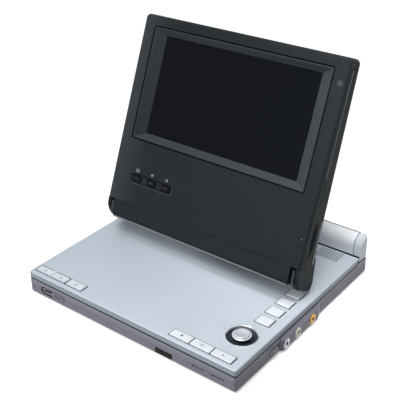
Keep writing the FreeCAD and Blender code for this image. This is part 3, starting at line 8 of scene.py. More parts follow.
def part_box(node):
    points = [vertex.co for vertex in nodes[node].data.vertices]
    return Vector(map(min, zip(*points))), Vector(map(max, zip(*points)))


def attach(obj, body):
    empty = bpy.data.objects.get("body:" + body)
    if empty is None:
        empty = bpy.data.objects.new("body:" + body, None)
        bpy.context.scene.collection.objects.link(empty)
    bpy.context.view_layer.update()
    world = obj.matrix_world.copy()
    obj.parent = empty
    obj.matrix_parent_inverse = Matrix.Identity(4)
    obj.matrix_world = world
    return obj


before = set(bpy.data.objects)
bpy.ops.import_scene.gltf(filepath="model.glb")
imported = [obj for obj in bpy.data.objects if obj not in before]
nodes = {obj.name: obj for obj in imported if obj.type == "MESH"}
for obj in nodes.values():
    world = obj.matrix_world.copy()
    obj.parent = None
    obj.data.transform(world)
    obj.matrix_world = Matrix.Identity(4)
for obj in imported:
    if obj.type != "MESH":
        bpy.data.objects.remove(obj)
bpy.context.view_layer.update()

# Bottom case
# The lower shell is one injection moulding in grey ABS with a fine spark texture, lacquered a mauve grey.
# Its upper band is painted paler as a painted reflection, and its edges paler, partly wear and partly painted
# highlight.
MM = 0.001
SHEEN_FROM, SHEEN_TO = 8.5, 14.0


def tint(red, green, blue):
    """A colour as it looks, from 0 to 255, as the light that it sends back."""
    parts = [part / 255 for part in (red, green, blue)]
    return [p / 12.92 if p < 0.04045 else ((p + 0.055) / 1.055) ** 2.4 for p in parts] + [1.0]


def shift(colour, amount):
    """The same colour, lighter or darker by a share."""
    return [min(part * (1 + amount), 1.0) for part in colour[:3]] + [1.0]


def node(material, kind, **inputs):
    """A shader node with the given inputs set or linked."""
    made = material.node_tree.nodes.new("ShaderNode" + kind)
    for name, value in inputs.items():
        socket = made.inputs[name.replace("_", " ")]
        if isinstance(value, bpy.types.NodeSocket):
            material.node_tree.links.new(value, socket)
        else:
            socket.default_value = value
    return made


def noise(material, size, detail=2.0, stretch=(1, 1, 1)):
    """Soft random spots about size mm across, which stretch pulls out along an axis."""
    place = node(material, "TexCoord").outputs["Object"]
    turned = node(material, "Mapping", Vector=place, Scale=stretch)
    return node(
        material, "TexNoise", Vector=turned.outputs["Vector"], Scale=1 / (size * MM), Detail=detail
    ).outputs["Fac"]


def spread(material, source, low, high, start=0.3, end=0.7):
    """A pattern's range from start to end, laid out from low to high."""
    return node(
        material, "MapRange", Value=source, From_Min=start, From_Max=end, To_Min=low, To_Max=high
    ).outputs["Result"]


def product(material, first, second):
    """Two factors multiplied."""
    both = node(material, "Math")
    both.operation = "MULTIPLY"
    material.node_tree.links.new(first, both.inputs[0])
    material.node_tree.links.new(second, both.inputs[1])
    return both.outputs[0]


def blend(material, factor, first, second):
    """One colour going over into another as factor goes from 0 to 1."""
    mixed = node(material, "Mix")
    mixed.data_type = "RGBA"
    for socket, value in ((0, factor), (6, first), (7, second)):
        if isinstance(value, bpy.types.NodeSocket):
            material.node_tree.links.new(value, mixed.inputs[socket])
        else:
            mixed.inputs[socket].default_value = value
    return mixed.outputs[2]


def edge_wear_and_highlight(material, width):
    """1 along sharp edges and 0 on open faces, over about width mm."""
    bevel = node(material, "Bevel", Radius=width * MM)
    bevel.samples = 4
    flat = node(material, "NewGeometry").outputs["Normal"]
    facing = node(material, "VectorMath")
    facing.operation = "DOT_PRODUCT"
    material.node_tree.links.new(bevel.outputs["Normal"], facing.inputs[0])
    material.node_tree.links.new(flat, facing.inputs[1])
    return spread(material, facing.outputs["Value"], 1.0, 0.0, 0.82, 0.99)


def finish(name, colour, roughness, metallic=0.0, specular=0.5, coat=0.0, grain=0.5, relief=0.02,
           mottle=0.05, wear_and_highlight=0.25, stretch=(1, 1, 1)):
    """A finish with its grain, slow drift of colour, uneven gloss and paler edges, which stand for wear and
    for painted highlights. Sizes are in mm.
    """
    material = bpy.data.materials.new(name)
    material.use_nodes = True
    shader = material.node_tree.nodes["Principled BSDF"]
    fine = noise(material, grain, 3.0, stretch)
    slow = noise(material, 24.0, 4.0)
    drift = blend(material, spread(material, slow, 0, 1), shift(colour, -mottle), shift(colour, mottle))
    speck = blend(material, spread(material, fine, 0, 0.35), drift, shift(colour, -3 * mottle))
    # Edges are painted paler: partly wear, partly painted highlights where an edge would catch the light.
    edge_paling = product(material, edge_wear_and_highlight(material, 0.5), spread(material, slow, 0.35, 1.0))
    base = blend(material, edge_paling, speck, shift(colour, wear_and_highlight))
    gloss = spread(material, slow, roughness - 0.04, roughness + 0.05)
    bump = node(material, "Bump", Height=fine, Strength=0.6, Distance=relief * MM)
    material.node_tree.links.new(base, shader.inputs["Base Color"])
    material.node_tree.links.new(gloss, shader.inputs["Roughness"])
    material.node_tree.links.new(bump.outputs["Normal"], shader.inputs["Normal"])
    shader.inputs["Metallic"].default_value = metallic
    shader.inputs["Specular IOR Level"].default_value = specular
    shader.inputs["Coat Weight"].default_value = coat
    shader.inputs["Coat Roughness"].default_value = 0.12
    return material


def along(material, axis, low, high):
    """0 below low and 1 above high, in mm along an axis of the piece."""
    place = node(material, "TexCoord").outputs["Object"]
    parts = node(material, "SeparateXYZ", Vector=place)
    return spread(material, parts.outputs[axis], 0, 1, low * MM, high * MM)


def repaint(material, factor, colour):
    """Lays a second colour over a finish, by a factor from 0 to 1."""
    shader = material.node_tree.nodes["Principled BSDF"]
    first = shader.inputs["Base Color"].links[0].from_socket
    material.node_tree.links.new(blend(material, factor, first, colour), shader.inputs["Base Color"])


def dress(material, *names):
    """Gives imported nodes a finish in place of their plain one."""
    for name in names:
        for holder in nodes[name].material_slots:
            holder.material = material


case_grey = finish(
    "case_grey", tint(118, 118, 130), 0.45, specular=0.3, grain=0.45, relief=0.02, wear_and_highlight=0.5
)
# Painted reflection: the case is painted paler towards its upper edge.
repaint(case_grey, along(case_grey, "Z", SHEEN_FROM, SHEEN_TO), tint(136, 136, 149))
dress(case_grey, "bottom_case")

# Charge lamp
# A small dome of clear greenish plastic stands in the left of the front. It is the end of a
# light guide that is pressed in from behind.
LAMP_PLACE = (-102.6 * MM, -98.95 * MM, 6.9 * MM)
DOME_RIM, DOME_RISE, DOME_ROUND = 0.35, 0.15, 0.22
SMOOTH_BELOW = 35


def begin(add, name, **size):
    """A primitive at its place, with nothing else selected, open for editing."""
    bpy.ops.object.select_all(action="DESELECT")
    add(**size)
    piece = bpy.context.object
    piece.name = name
    piece.data.name = name
    bpy.ops.object.mode_set(mode="EDIT")
    return piece


def choose(piece, kind, test):
    """Selects the faces or edges that pass the test, and nothing else."""
    bpy.ops.mesh.select_mode(type={"faces": "FACE", "edges": "EDGE"}[kind])
    bpy.ops.mesh.select_all(action="DESELECT")
    mesh = bmesh.from_edit_mesh(piece.data)
    for item in getattr(mesh, kind):
        if test(item):
            item.select_set(True)
    bmesh.update_edit_mesh(piece.data)


def settle(piece, material, body, place=None):
    """Closes the editing: place and turn go into the mesh, and the piece rides on its body."""
    bpy.ops.object.mode_set(mode="OBJECT")
    if place:
        piece.matrix_world = place
    bpy.ops.object.transform_apply(location=True, rotation=True, scale=True)
    bpy.ops.object.shade_smooth_by_angle(angle=radians(SMOOTH_BELOW))
    piece.data.materials.append(material)
    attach(piece, body)


def domed_stud(name, radius, height, **where):
    """A short round stud with a softly domed end."""
    stud = begin(
        bpy.ops.mesh.primitive_cylinder_add, name, vertices=28, radius=radius * MM,
        depth=height * MM, **where
    )
    choose(stud, "faces", lambda face: face.normal.z > 0.9)
    bpy.ops.mesh.inset(thickness=DOME_RIM * radius * MM)
    bpy.ops.transform.translate(value=(0, 0, DOME_RISE * radius * MM))
    choose(stud, "edges", lambda edge: all(v.co.z > 0.4 * height * MM for v in edge.verts))
    bpy.ops.mesh.bevel(offset=DOME_ROUND * radius * MM, segments=3)
    return stud


lamp_green = finish("lamp_green", tint(120, 134, 118), 0.18, coat=0.6, grain=0.2, relief=0.005, wear_and_highlight=0.1)
lamp = domed_stud("charge_lamp", radius=0.8, height=0.9, location=LAMP_PLACE, rotation=(radians(90), 0, 0))
settle(lamp, lamp_green, "base")

# Shade at the case seam
# A thin black strip on the top of the wall, along the front and both sides, is painted shade: it shows
# as a dark line under the lid's edge, and ends short of the lid's hinges.
SEAM_LEVEL = 14.6
SEAM_SHADE_END = 81


def thicken(thick, upright=False):
    """Gives everything flat in the open piece a thickness in mm, upwards or towards the front."""
    bpy.ops.mesh.select_all(action="SELECT")
    out = (0, -thick * MM, 0) if upright else (0, 0, thick * MM)
    bpy.ops.mesh.extrude_region_move(TRANSFORM_OT_translate={"value": out})
    bpy.ops.mesh.select_all(action="SELECT")
    bpy.ops.mesh.normals_make_consistent(inside=False)


def open_frame(name, middle, width, height, band, corner, thick, upright=False):
    """A flat frame in mm, open for editing. It lies on the deck's plane, or stands up against the front."""
    where = tuple(part * MM for part in middle)
    piece = begin(
        bpy.ops.mesh.primitive_plane_add, name, size=1.0, location=where,
        rotation=(radians(90) if upright else 0, 0, 0)
    )
    size = (width * MM, 1, height * MM) if upright else (width * MM, height * MM, 1)
    bpy.ops.transform.resize(value=size, center_override=where)
    if corner:
        bpy.ops.mesh.bevel(offset=corner * MM, segments=6, affect="VERTICES")
        bpy.ops.mesh.select_all(action="SELECT")
    bpy.ops.mesh.inset(thickness=band * MM)
    bpy.ops.mesh.delete(type="FACE")
    thicken(thick, upright)
    return piece


def cut_off(limit):
    """Takes away what lies beyond limit mm along Y in the open piece, and closes the cut."""
    bpy.ops.mesh.select_all(action="SELECT")
    bpy.ops.mesh.bisect(
        plane_co=(0, limit * MM, 0), plane_no=(0, 1, 0), clear_outer=True, use_fill=True,
        threshold=0.00001 * MM
    )


painted_shade_black = finish("painted_shade_black", tint(16, 17, 20), 0.8, specular=0.05, grain=0.6, relief=0.04, mottle=0.1)
seam_shade = open_frame(
    "case_seam_shade", (0, -7.5, SEAM_LEVEL), width=213.9, height=182.9, band=1.6, corner=1.9, thick=0.7
)
cut_off(SEAM_SHADE_END)
settle(seam_shade, painted_shade_black, "base")

# Feet
# Four feet of soft black rubber are glued into shallow seats of the underside.
# The same rubber makes the ring on which the disc grips.
foot_rubber = finish("foot_rubber", tint(38, 38, 40), 0.82, specular=0.2, grain=0.7, relief=0.06, mottle=0.1)
dress(foot_rubber, "feet")

# Steel parts
# The drive's chassis, rods and screw, the brackets, pins and shafts of the hinges, the catch and
# the arm's frame are zinc-plated steel, with the fine lines of rolling and grinding.
ROLLED_LINES = (1, 14, 14)


def brushed_steel(name, colour, roughness, lines=ROLLED_LINES):
    """Rolled or ground steel, with fine lines along one axis."""
    return finish(
        name, colour, roughness, metallic=1.0, grain=2.6, relief=0.012, mottle=0.07, wear_and_highlight=0.2, stretch=lines
    )


zinc_steel = brushed_steel("zinc_steel", tint(176, 178, 182), 0.3)
dress(
    zinc_steel, "chassis_plate", "guide_rods", "feed_screw", "hinge_brackets", "lid_hinge_pins", "lid_catch",
    "arm_frame", "arm_shafts", "screen_hinge_brackets", "spindle_motor"
)

# Case screws
# Six black zinc screws go up through the bottom case, and hold the halves of the case together.
# Their cross recesses are rubbed bright by the driver.
screw_black = brushed_steel("screw_black", tint(74, 74, 78), 0.36, lines=(3, 3, 3))
dress(screw_black, "case_screws")

# Remote window
# A clip of dark smoked acrylic in the front lets the remote control's infrared light in.
# It snaps into the wall from inside, and its polished face is flush with the lacquer.
smoked_window = finish(
    "smoked_window", tint(10, 8, 10), 0.16, specular=0.08, grain=0.4, relief=0.003, mottle=0.15, wear_and_highlight=0.6
)
dress(smoked_window, "ir_window")

# Slide switch
# The knob is a grey lacquered moulding with finger ridges, whose edges carry painted highlights, and slides
# in a long recess of the front. A black lining round the wall of that recess is painted shade, its dark
# outline.
SWITCH_MIDDLE = (-80, -98.2, 7.8)
knob_grey = finish("knob_grey", tint(106, 107, 116), 0.38, metallic=0.2, grain=0.4, relief=0.015, wear_and_highlight=1.2)
dress(knob_grey, "slide_knob")
recess_shade = open_frame(
    "switch_recess_shade", SWITCH_MIDDLE, width=28, height=7, band=0.45, corner=3.45, thick=0.72, upright=True
)
settle(recess_shade, painted_shade_black, "base")

# Side sockets
# The three signal sockets are told apart by their rings, of nickelled steel and of cream and
# yellow plastic. They are soldered to a board, and their rings clip into the side.
jack_steel = brushed_steel("jack_steel", tint(168, 170, 172), 0.28, lines=(6, 6, 6))
jack_cream = finish("jack_cream", tint(232, 226, 206), 0.34, coat=0.2, grain=0.3, relief=0.006, mottle=0.04)
jack_yellow = finish(
    "jack_yellow", tint(226, 182, 48), 0.3, metallic=0.3, coat=0.3, grain=0.3, relief=0.006, mottle=0.08
)
dress(jack_steel, "headphone_jack")
dress(jack_cream, "audio_jack")
dress(jack_yellow, "video_jack")

# Black mouldings
# The power inlet, card socket, sled, feed motor, speakers and the gimbal of the joystick have
# bodies of plain black plastic, dull from the mould.
black_plastic = finish(
    "black_plastic", tint(34, 34, 37), 0.5, specular=0.35, grain=0.5, relief=0.03, mottle=0.1
)
dress(black_plastic, "joystick_gimbal", "dc_inlet", "card_socket", "feed_motor", "laser_sled", "speakers")

# Volume wheel
# A serrated thumb wheel in grey plastic stands out of a slot in the right side.
# Its teeth carry painted highlights, paler than the hollows between them.
wheel_grey = finish("wheel_grey", tint(132, 135, 143), 0.4, metallic=0.2, grain=0.4, relief=0.02, wear_and_highlight=0.9)
dress(wheel_grey, "volume_wheel")

# Inner deck and lid liner
# The moulding under the lid holds the disc recess, and a panel of the same grey plastic lines
# the lid. Both have a leather-like mould texture.
well_grey = finish("well_grey", tint(66, 68, 74), 0.55, specular=0.3, grain=0.8, relief=0.06, mottle=0.08)
dress(well_grey, "disc_well", "lid_liner")

# Disc hub
# The hub is white acetal, pressed on the motor's shaft. The disc lies on a flat rubber ring, and
# three rubber-tipped claws in the hub's windows hold it by its hole.
GRIP_RISE = 2.4
CLAW_REACH = 5.4
CLAW_LEVEL = 12.9


def middle_of(name):
    """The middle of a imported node's box."""
    low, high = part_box(name)
    return (low + high) / 2


def flat_ring(name, place, radius, cord, flatness, around, across):
    """A ring of flattened cord about a place, with so many faces around it and across the cord."""
    ring = begin(
        bpy.ops.mesh.primitive_torus_add, name, major_segments=around, minor_segments=across,
        major_radius=radius * MM, minor_radius=cord * MM, location=place
    )
    bpy.ops.mesh.select_all(action="SELECT")
    bpy.ops.transform.resize(value=(1, 1, flatness))
    return ring


hub_white = finish("hub_white", tint(226, 226, 220), 0.32, coat=0.15, grain=0.6, relief=0.01, mottle=0.03)
dress(hub_white, "turntable")
hub = middle_of("turntable")
grip_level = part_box("turntable")[0].z + GRIP_RISE * MM
grip = flat_ring(
    "disc_grip_ring", (hub.x, hub.y, grip_level), radius=12.2, cord=0.7, flatness=0.4, around=64, across=10
)
settle(grip, foot_rubber, "spindle")
for k in range(3):
    turn = radians(120 * k)
    claw_x, claw_y = hub.x + CLAW_REACH * MM * cos(turn), hub.y + CLAW_REACH * MM * sin(turn)
    claw = domed_stud(
        f"hub_claw_{k + 1}", radius=1.0, height=1.4, location=(claw_x, claw_y, CLAW_LEVEL * MM)
    )
    settle(claw, foot_rubber, "spindle")

# Pickup lens
# The pickup's lens is a small moulded lens with a bluish coating, on the middle of the sled.
# A steel ring round it is part of the actuator that moves it.
LENS_RING_LEVEL = 9.05
lens_glass = finish("lens_glass", tint(40, 44, 92), 0.05, coat=1.0, grain=0.3, relief=0.001, mottle=0.2)
dress(lens_glass, "objective_lens")
lens = middle_of("objective_lens")
lens_ring = flat_ring(
    "lens_ring", (lens.x, lens.y, LENS_RING_LEVEL * MM), radius=3.1, cord=0.4, flatness=0.6,
    around=48, across=8
)
settle(lens_ring, zinc_steel, "sled")

# Screws of the inner deck
# Four black screws with a round recess hold the inner deck near its corners.
# They go down into pillars of the bottom case.
SCREW_SPOTS = ((-99, -90), (99, -90), (-99, 74), (99, 74))
SCREW_LEVEL = 14.3


def sink_middle(stud, rim, depth):
    """Sinks the middle of a stud's end, and leaves a rim round it. Sizes are in mm."""
    choose(stud, "faces", lambda face: face.normal.z > 0.95)
    bpy.ops.mesh.inset(thickness=rim * MM)
    bpy.ops.transform.translate(value=(0, 0, -depth * MM))


for k, (x, y) in enumerate(SCREW_SPOTS, start=1):
    screw = domed_stud(
        f"deck_screw_{k}", radius=2.0, height=1.0, location=(x * MM, y * MM, SCREW_LEVEL * MM)
    )
    sink_middle(screw, rim=0.5, depth=0.4)
    settle(screw, screw_black, "base")

# Circuit boards and battery
# The boards are green glass-epoxy with copper tracks under the lacquer. The battery's cells are
# shrunk into a blue film.
board_green = finish("board_green", tint(32, 92, 58), 0.35, coat=0.3, grain=0.6, relief=0.02, mottle=0.12)
dress(board_green, "main_board", "key_board", "screen_board")
battery_film = finish("battery_film", tint(44, 66, 120), 0.28, coat=0.4, grain=3.0, relief=0.15, mottle=0.06)
dress(battery_film, "battery_pack")

# Lid
# The deck plate is moulded ABS under a satin silver lacquer with fine metal flake. Its left part and
# turned edge are painted greyer as painted shade, and its lowest edge is painted dark as painted shadow of
# the seam.
DECK_TOP = 21.2
LEFT_SHADE = (60, -130)
TURNED_EDGE_SHADE = (20.7, 20.3)
SEAM_SHADOW_EDGE = (16.1, 15.9)
deck_silver = finish(
    "deck_silver", tint(192, 201, 211), 0.5, metallic=0.1, specular=0.3, grain=0.5, relief=0.004,
    mottle=0.02, wear_and_highlight=0.1
)
repaint(deck_silver, along(deck_silver, "X", *LEFT_SHADE), tint(176, 187, 197))
repaint(deck_silver, along(deck_silver, "Z", *TURNED_EDGE_SHADE), tint(146, 156, 166))
repaint(deck_silver, along(deck_silver, "Z", *SEAM_SHADOW_EDGE), tint(30, 34, 42))
dress(deck_silver, "deck_lid")

# Deck keys
# The keys are ABS caps, lacquered a shade brighter than the deck. They stand a little proud in
# their openings, and press on rubber domes of the board below.
KEY_NAMES = [
    "front_left_key_1", "front_left_key_2", "front_right_key_1", "front_right_key_2", "front_right_key_3",
    "side_key_1", "side_key_2", "side_key_3", "side_key_4"
]
KEY_SHADE = (20, -60)
key_silver = finish(
    "key_silver", tint(222, 227, 233), 0.4, metallic=0.1, specular=0.4, grain=0.4, relief=0.004,
    mottle=0.02, wear_and_highlight=0.1
)
# Painted shade: the keys are painted darker towards the left.
repaint(key_silver, along(key_silver, "X", *KEY_SHADE), tint(203, 210, 217))
dress(key_silver, *KEY_NAMES)

# Joystick
# A plated ring is pressed into the deck round the stick. The dish is dark blue-grey plastic, and
# the cap on the stick is lacquered silver, worn a little by the thumb.
control_silver = finish(
    "control_silver", tint(222, 227, 233), 0.26, metallic=0.6, grain=0.35, relief=0.008, mottle=0.03, wear_and_highlight=0.1
)
dress(control_silver, "joystick_ring")
dish_blue = finish("dish_blue", tint(38, 43, 53), 0.4, specular=0.3, grain=0.4, relief=0.01)
dress(dish_blue, "joystick_base")
stick_silver = finish(
    "stick_silver", tint(208, 213, 219), 0.3, metallic=0.35, grain=0.35, relief=0.008, mottle=0.03, wear_and_highlight=0.2
)
dress(stick_silver, "joystick_cap")

# Shade round the key openings
# Each opening has a narrow black rim, painted shade that makes the gap round the key read dark.
# Below the deck a key is deeper than its opening, by its flanges.
KEY_GAP = 0.6
KEY_FLANGE = 1.2
RIM = 0.4
RIM_THICK = 0.03
RIM_SUNK = 0.01
RIM_LEVEL = DECK_TOP - RIM_SUNK
painted_gap_shade = finish("painted_gap_shade", tint(38, 42, 50), 0.6, specular=0.1, grain=0.4, relief=0.01, mottle=0.1)
for name in KEY_NAMES:
    low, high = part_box(name)
    wide, deep = (high.x - low.x) / MM, (high.y - low.y) / MM - 2 * KEY_FLANGE
    key = middle_of(name) / MM
    rim = open_frame(
        "gap_shade_" + name, (key.x, key.y, RIM_LEVEL), width=wide + 2 * (KEY_GAP + RIM),
        height=deep + 2 * (KEY_GAP + RIM), band=RIM, corner=0, thick=RIM_THICK
    )
    settle(rim, painted_gap_shade, "lid")

# Printed signs
# Signs and ticks are printed on the keys and the deck in grey ink, a few hundredths of a
# millimetre thick. They are the ones that any player has: stop, pause, play, skip and list.
INK = 0.02
KEY_Y = -90.7
KEY_TOP, ROCKER_TOP = 22.2, 21.5
ROCKER_REACH = 8.95
STICK_X, STICK_Y, TICK_REACH = 87.4, -63.3, 15.6
ARROW, BAR = 3, 4


def open_print(name):
    """An empty piece at the origin, open for the shapes of a print."""
    piece = begin(bpy.ops.mesh.primitive_plane_add, name, size=MM)
    bpy.ops.mesh.delete(type="VERT")
    return piece


def shape(sides, x, y, z, wide, deep, turn=0):
    """Adds one filled shape in mm: 3 sides for an arrow head, 4 for a bar, more for a dot."""
    where = (x * MM, y * MM, z * MM)
    bpy.ops.mesh.primitive_circle_add(
        vertices=sides, fill_type="NGON", radius=1.0, location=where,
        rotation=(0, 0, radians(turn + (45 if sides == BAR else 0)))
    )
    reach = 2 * cos(radians(45)) if sides == BAR else 2.0
    bpy.ops.transform.resize(value=(wide * MM / reach, deep * MM / reach, 1), center_override=where)


def print_sign(name, body, shapes):
    """A sign of several shapes, printed on the top of a key or on the lid."""
    sign = open_print(name)
    for one in shapes:
        shape(*one)
    thicken(INK)
    settle(sign, print_grey, body)


print_grey = finish("print_grey", tint(128, 134, 143), 0.6, specular=0.2, grain=0.3, relief=0.004, wear_and_highlight=0.1)
key_x = {name: middle_of(name).x / MM for name in KEY_NAMES}
stop_x, pause_x, play_x = (key_x[f"front_right_key_{k}"] for k in (1, 2, 3))
print_sign("sign_stop", "front_right_key_1", [(BAR, stop_x, KEY_Y, KEY_TOP, 2.2, 2.2)])
print_sign("sign_pause", "front_right_key_2", [
    (BAR, pause_x + side * 0.8, KEY_Y, KEY_TOP, 0.7, 2.4) for side in (-1, 1)
])
print_sign("sign_play", "front_right_key_3", [(ARROW, play_x, KEY_Y, KEY_TOP, 2.6, 2.8, -90)])
skip_shapes = []
for side in (-1, 1):
    skip_x = key_x["front_left_key_1"] + side * ROCKER_REACH
    skip_shapes += [
        (ARROW, skip_x - side * 1.2, KEY_Y, ROCKER_TOP, 1.8, 2.2, -90 * side),
        (ARROW, skip_x + side * 0.4, KEY_Y, ROCKER_TOP, 1.8, 2.2, -90 * side),
        (BAR, skip_x + side * 1.6, KEY_Y, ROCKER_TOP, 0.4, 2.0),
    ]
print_sign("sign_skip", "front_left_key_1", skip_shapes)
print_sign("sign_list", "front_left_key_2", [
    (BAR, key_x["front_left_key_2"], KEY_Y + row, KEY_TOP, 2.8, 0.45) for row in (-1, 0, 1)
])
tick_shapes = []
for turn in (0, 90, 180, 270):
    tick_x = STICK_X - TICK_REACH * sin(radians(turn))
    tick_y = STICK_Y + TICK_REACH * cos(radians(turn))
    tick_shapes.append((ARROW, tick_x, tick_y, DECK_TOP, 1.5, 1.5, turn))
print_sign("stick_ticks", "lid", tick_shapes)

# Speaker grilles
# Two fields of small holes are moulded into the back corners of the deck, over the speakers.
# Each hole has a narrow dark ring round it, painted shade that makes the hole read dark, as the rims of the
# keys do.
HOLE_PITCH = 2.5
HOLES_WIDE, HOLES_DEEP = 9, 6
FIRST_HOLE = (-93 * MM, 68.15 * MM, RIM_LEVEL * MM)
SHADE_RING_RADIUS, SHADE_RING_WIDTH = 0.95, 0.25
FIELDS_APART = 166
grille = begin(
    bpy.ops.mesh.primitive_circle_add, "grille_hole_shade", vertices=6, fill_type="NGON",
    radius=SHADE_RING_RADIUS * MM, location=FIRST_HOLE, rotation=(0, 0, radians(30))
)
bpy.ops.mesh.inset(thickness=SHADE_RING_WIDTH * MM)
bpy.ops.mesh.delete(type="FACE")
thicken(RIM_THICK)
bpy.ops.object.mode_set(mode="OBJECT")
bpy.ops.object.transform_apply(location=True, rotation=True, scale=True)
for count, across, back in (
    (HOLES_WIDE, HOLE_PITCH, 0), (HOLES_DEEP, 0, HOLE_PITCH), (2, FIELDS_APART, 0)
):
    repeat = grille.modifiers.new("repeat", "ARRAY")
    repeat.count = count
    repeat.use_relative_offset = False
    repeat.use_constant_offset = True
    repeat.constant_offset_displace = (across * MM, back * MM, 0)
    bpy.ops.object.modifier_apply(modifier="repeat")
settle(grille, painted_gap_shade, "lid")

# Rear bar
# The bar across the back is bright silver lacquer over plastic, glossier than the deck. A grey
# line along the back of its top is painted shade, where the top rounds away from the light.
BACK_EDGE_SHADE = ((95.0, 95.4), (98.2, 98.4))


def between(material, axis, rise, fall):
    """1 from rise to fall and 0 outside, in mm along an axis. Each is a pair of places, low then high."""
    fall_low, fall_high = fall
    return product(material, along(material, axis, *rise), along(material, axis, fall_high, fall_low))


bar_silver = finish(
    "bar_silver", tint(238, 241, 246), 0.34, grain=0.5, relief=0.002, mottle=0.01, wear_and_highlight=0.04
)
repaint(bar_silver, between(bar_silver, "Y", *BACK_EDGE_SHADE), tint(104, 107, 112))
dress(bar_silver, "rear_bar")

# End caps of the bar
# The two bevelled caps are lacquered a shade greyer than the bar. Their inner edges lie in
# the shade of the joint.
SHADED_EDGES = ((-101.0, -100.6), (100.6, 101.0))
cap_silver = finish(
    "cap_silver", tint(214, 222, 229), 0.34, grain=0.5, relief=0.002, mottle=0.01, wear_and_highlight=0.1
)
repaint(cap_silver, between(cap_silver, "X", *SHADED_EDGES), tint(150, 158, 168))
dress(cap_silver, "bar_end_caps")

# Shade in the gap behind the lid
# A thin black strip on the front of the bar is painted shade: it fills the gap to the lid, and shows
# as a dark line between the two.
GAP_SHADE_MIDDLE = (0, 85 * MM, 18.5 * MM)
GAP_SHADE_LONG, GAP_SHADE_HIGH, GAP_SHADE_THICK = 213, 6.6, 0.1
GAP_SHADE_CORNER = 0.3
gap_shade_strip = begin(
    bpy.ops.mesh.primitive_plane_add, "bar_gap_shade", size=1.0, location=GAP_SHADE_MIDDLE,
    rotation=(radians(90), 0, 0)
)
bpy.ops.transform.resize(value=(GAP_SHADE_LONG * MM, 1, GAP_SHADE_HIGH * MM), center_override=GAP_SHADE_MIDDLE)
bpy.ops.mesh.bevel(offset=GAP_SHADE_CORNER * MM, segments=2, affect="VERTICES")
thicken(GAP_SHADE_THICK, upright=True)
settle(gap_shade_strip, painted_gap_shade, "base")


# Support arm and back of the screen
# The arm's cover, the screen's rear cover and the strip under its face are charcoal ABS with
# a dull fine texture.
def charcoal_plastic(name):
    """Charcoal ABS, dull from the mould."""
    return finish(
        name, tint(32, 37, 40), 0.55, specular=0.08, grain=0.45, relief=0.02, mottle=0.06, wear_and_highlight=0.8
    )


charcoal = charcoal_plastic("charcoal")
dress(charcoal, "lower_strip", "rear_cover", "arm_cover")

# Bezel
# The front shell of the screen is moulded in the same charcoal ABS. It is clipped to the rear
# cover, and its left border is painted a lighter grey, a painted reflection of light from the upper left.
BEZEL_SHEEN = (-70, -101)
bezel_charcoal = charcoal_plastic("bezel_charcoal")
repaint(bezel_charcoal, along(bezel_charcoal, "X", *BEZEL_SHEEN), tint(54, 59, 63))
dress(bezel_charcoal, "screen_bezel")

# Picture and its frame
# A separate frame with sloping faces leads down to the picture; its left slope is painted darker,
# as painted shade. The picture is a sheet of smooth dark glass in an alloy frame.
SHADED_SLOPE_FACING = (0.25, 0.45)
bevel_black = finish(
    "bevel_black", tint(52, 57, 61), 0.45, specular=0.12, grain=0.4, relief=0.01, mottle=0.06, wear_and_highlight=0.9
)
facing = node(bevel_black, "SeparateXYZ", Vector=node(bevel_black, "TexCoord").outputs["Normal"])
repaint(bevel_black, spread(bevel_black, facing.outputs["X"], 0, 1, *SHADED_SLOPE_FACING), tint(33, 37, 41))
dress(bevel_black, "bevel_frame")
picture_glass = finish(
    "picture_glass", tint(11, 14, 19), 0.09, specular=0.05, grain=1.5, relief=0.0005, mottle=0.05, wear_and_highlight=0.0
)
dress(picture_glass, "lcd_panel")
frame_alloy = brushed_steel("frame_alloy", tint(160, 162, 164), 0.4)
dress(frame_alloy, "lcd_frame")

# Bumpers
# Two round stops of grey rubber are pressed into the upper corners of the bezel.
# They keep the screen off the deck when it is folded down.
bumper_grey = finish("bumper_grey", tint(52, 56, 60), 0.6, specular=0.2, grain=0.5, relief=0.03)
dress(bumper_grey, "bumpers")

# Hooks, rail and band
# The rail under the screen and the band by the card slot are grey plastic with a slight sheen.
# The hooks in the lower corners are of the same moulding, painted darker as painted shade.
SHADED_HOOKS = ((-98, -93), (93, 98))
HOOK_SHADE_FADE = 0.2
trim_grey = finish("trim_grey", tint(112, 116, 120), 0.42, specular=0.2, grain=0.4, relief=0.015)
for low, high in SHADED_HOOKS:
    hook_shade = between(trim_grey, "X", (low, low + HOOK_SHADE_FADE), (high, high + HOOK_SHADE_FADE))
    repaint(trim_grey, hook_shade, tint(52, 55, 58))
dress(trim_grey, "screen_trim")

# Screen keys
# Three small keys of near-black plastic stand under the picture. Each presses on a switch of
# the board behind it.
screen_key_grey = finish(
    "screen_key_grey", tint(15, 17, 20), 0.4, specular=0.08, grain=0.3, relief=0.01, wear_and_highlight=0.9
)
dress(screen_key_grey, "screen_key_1", "screen_key_2", "screen_key_3")

# Picture gasket
# A black foam cord fills the groove between the bezel and the frame of the picture, and
# a narrow lip of it lies on the bezel.
SCREEN_CORNER = (-100.5 * MM, -11.015 * MM, 40.484 * MM)
SCREEN_LEAN = 22
SCREEN = Matrix.Translation(SCREEN_CORNER) @ Matrix.Rotation(radians(90 - SCREEN_LEAN), 4, "X")
PICTURE_MIDDLE = (100.5, 122.3)
RECESS = -0.9


def on_screen(u, v, w=0.0):
    """A place in mm on the screen unit: across, up its face and out of it."""
    return SCREEN @ Matrix.Translation((u * MM, v * MM, w * MM))


gasket_black = finish("gasket_black", tint(7, 8, 10), 0.8, specular=0.03, grain=0.6, relief=0.02, mottle=0.1)
gasket = open_frame(
    "picture_gasket", (0, 0, 0), width=177.1, height=100.0, band=1.2, corner=1.8, thick=0.94
)
settle(gasket, gasket_black, "screen", place=on_screen(*PICTURE_MIDDLE, RECESS))

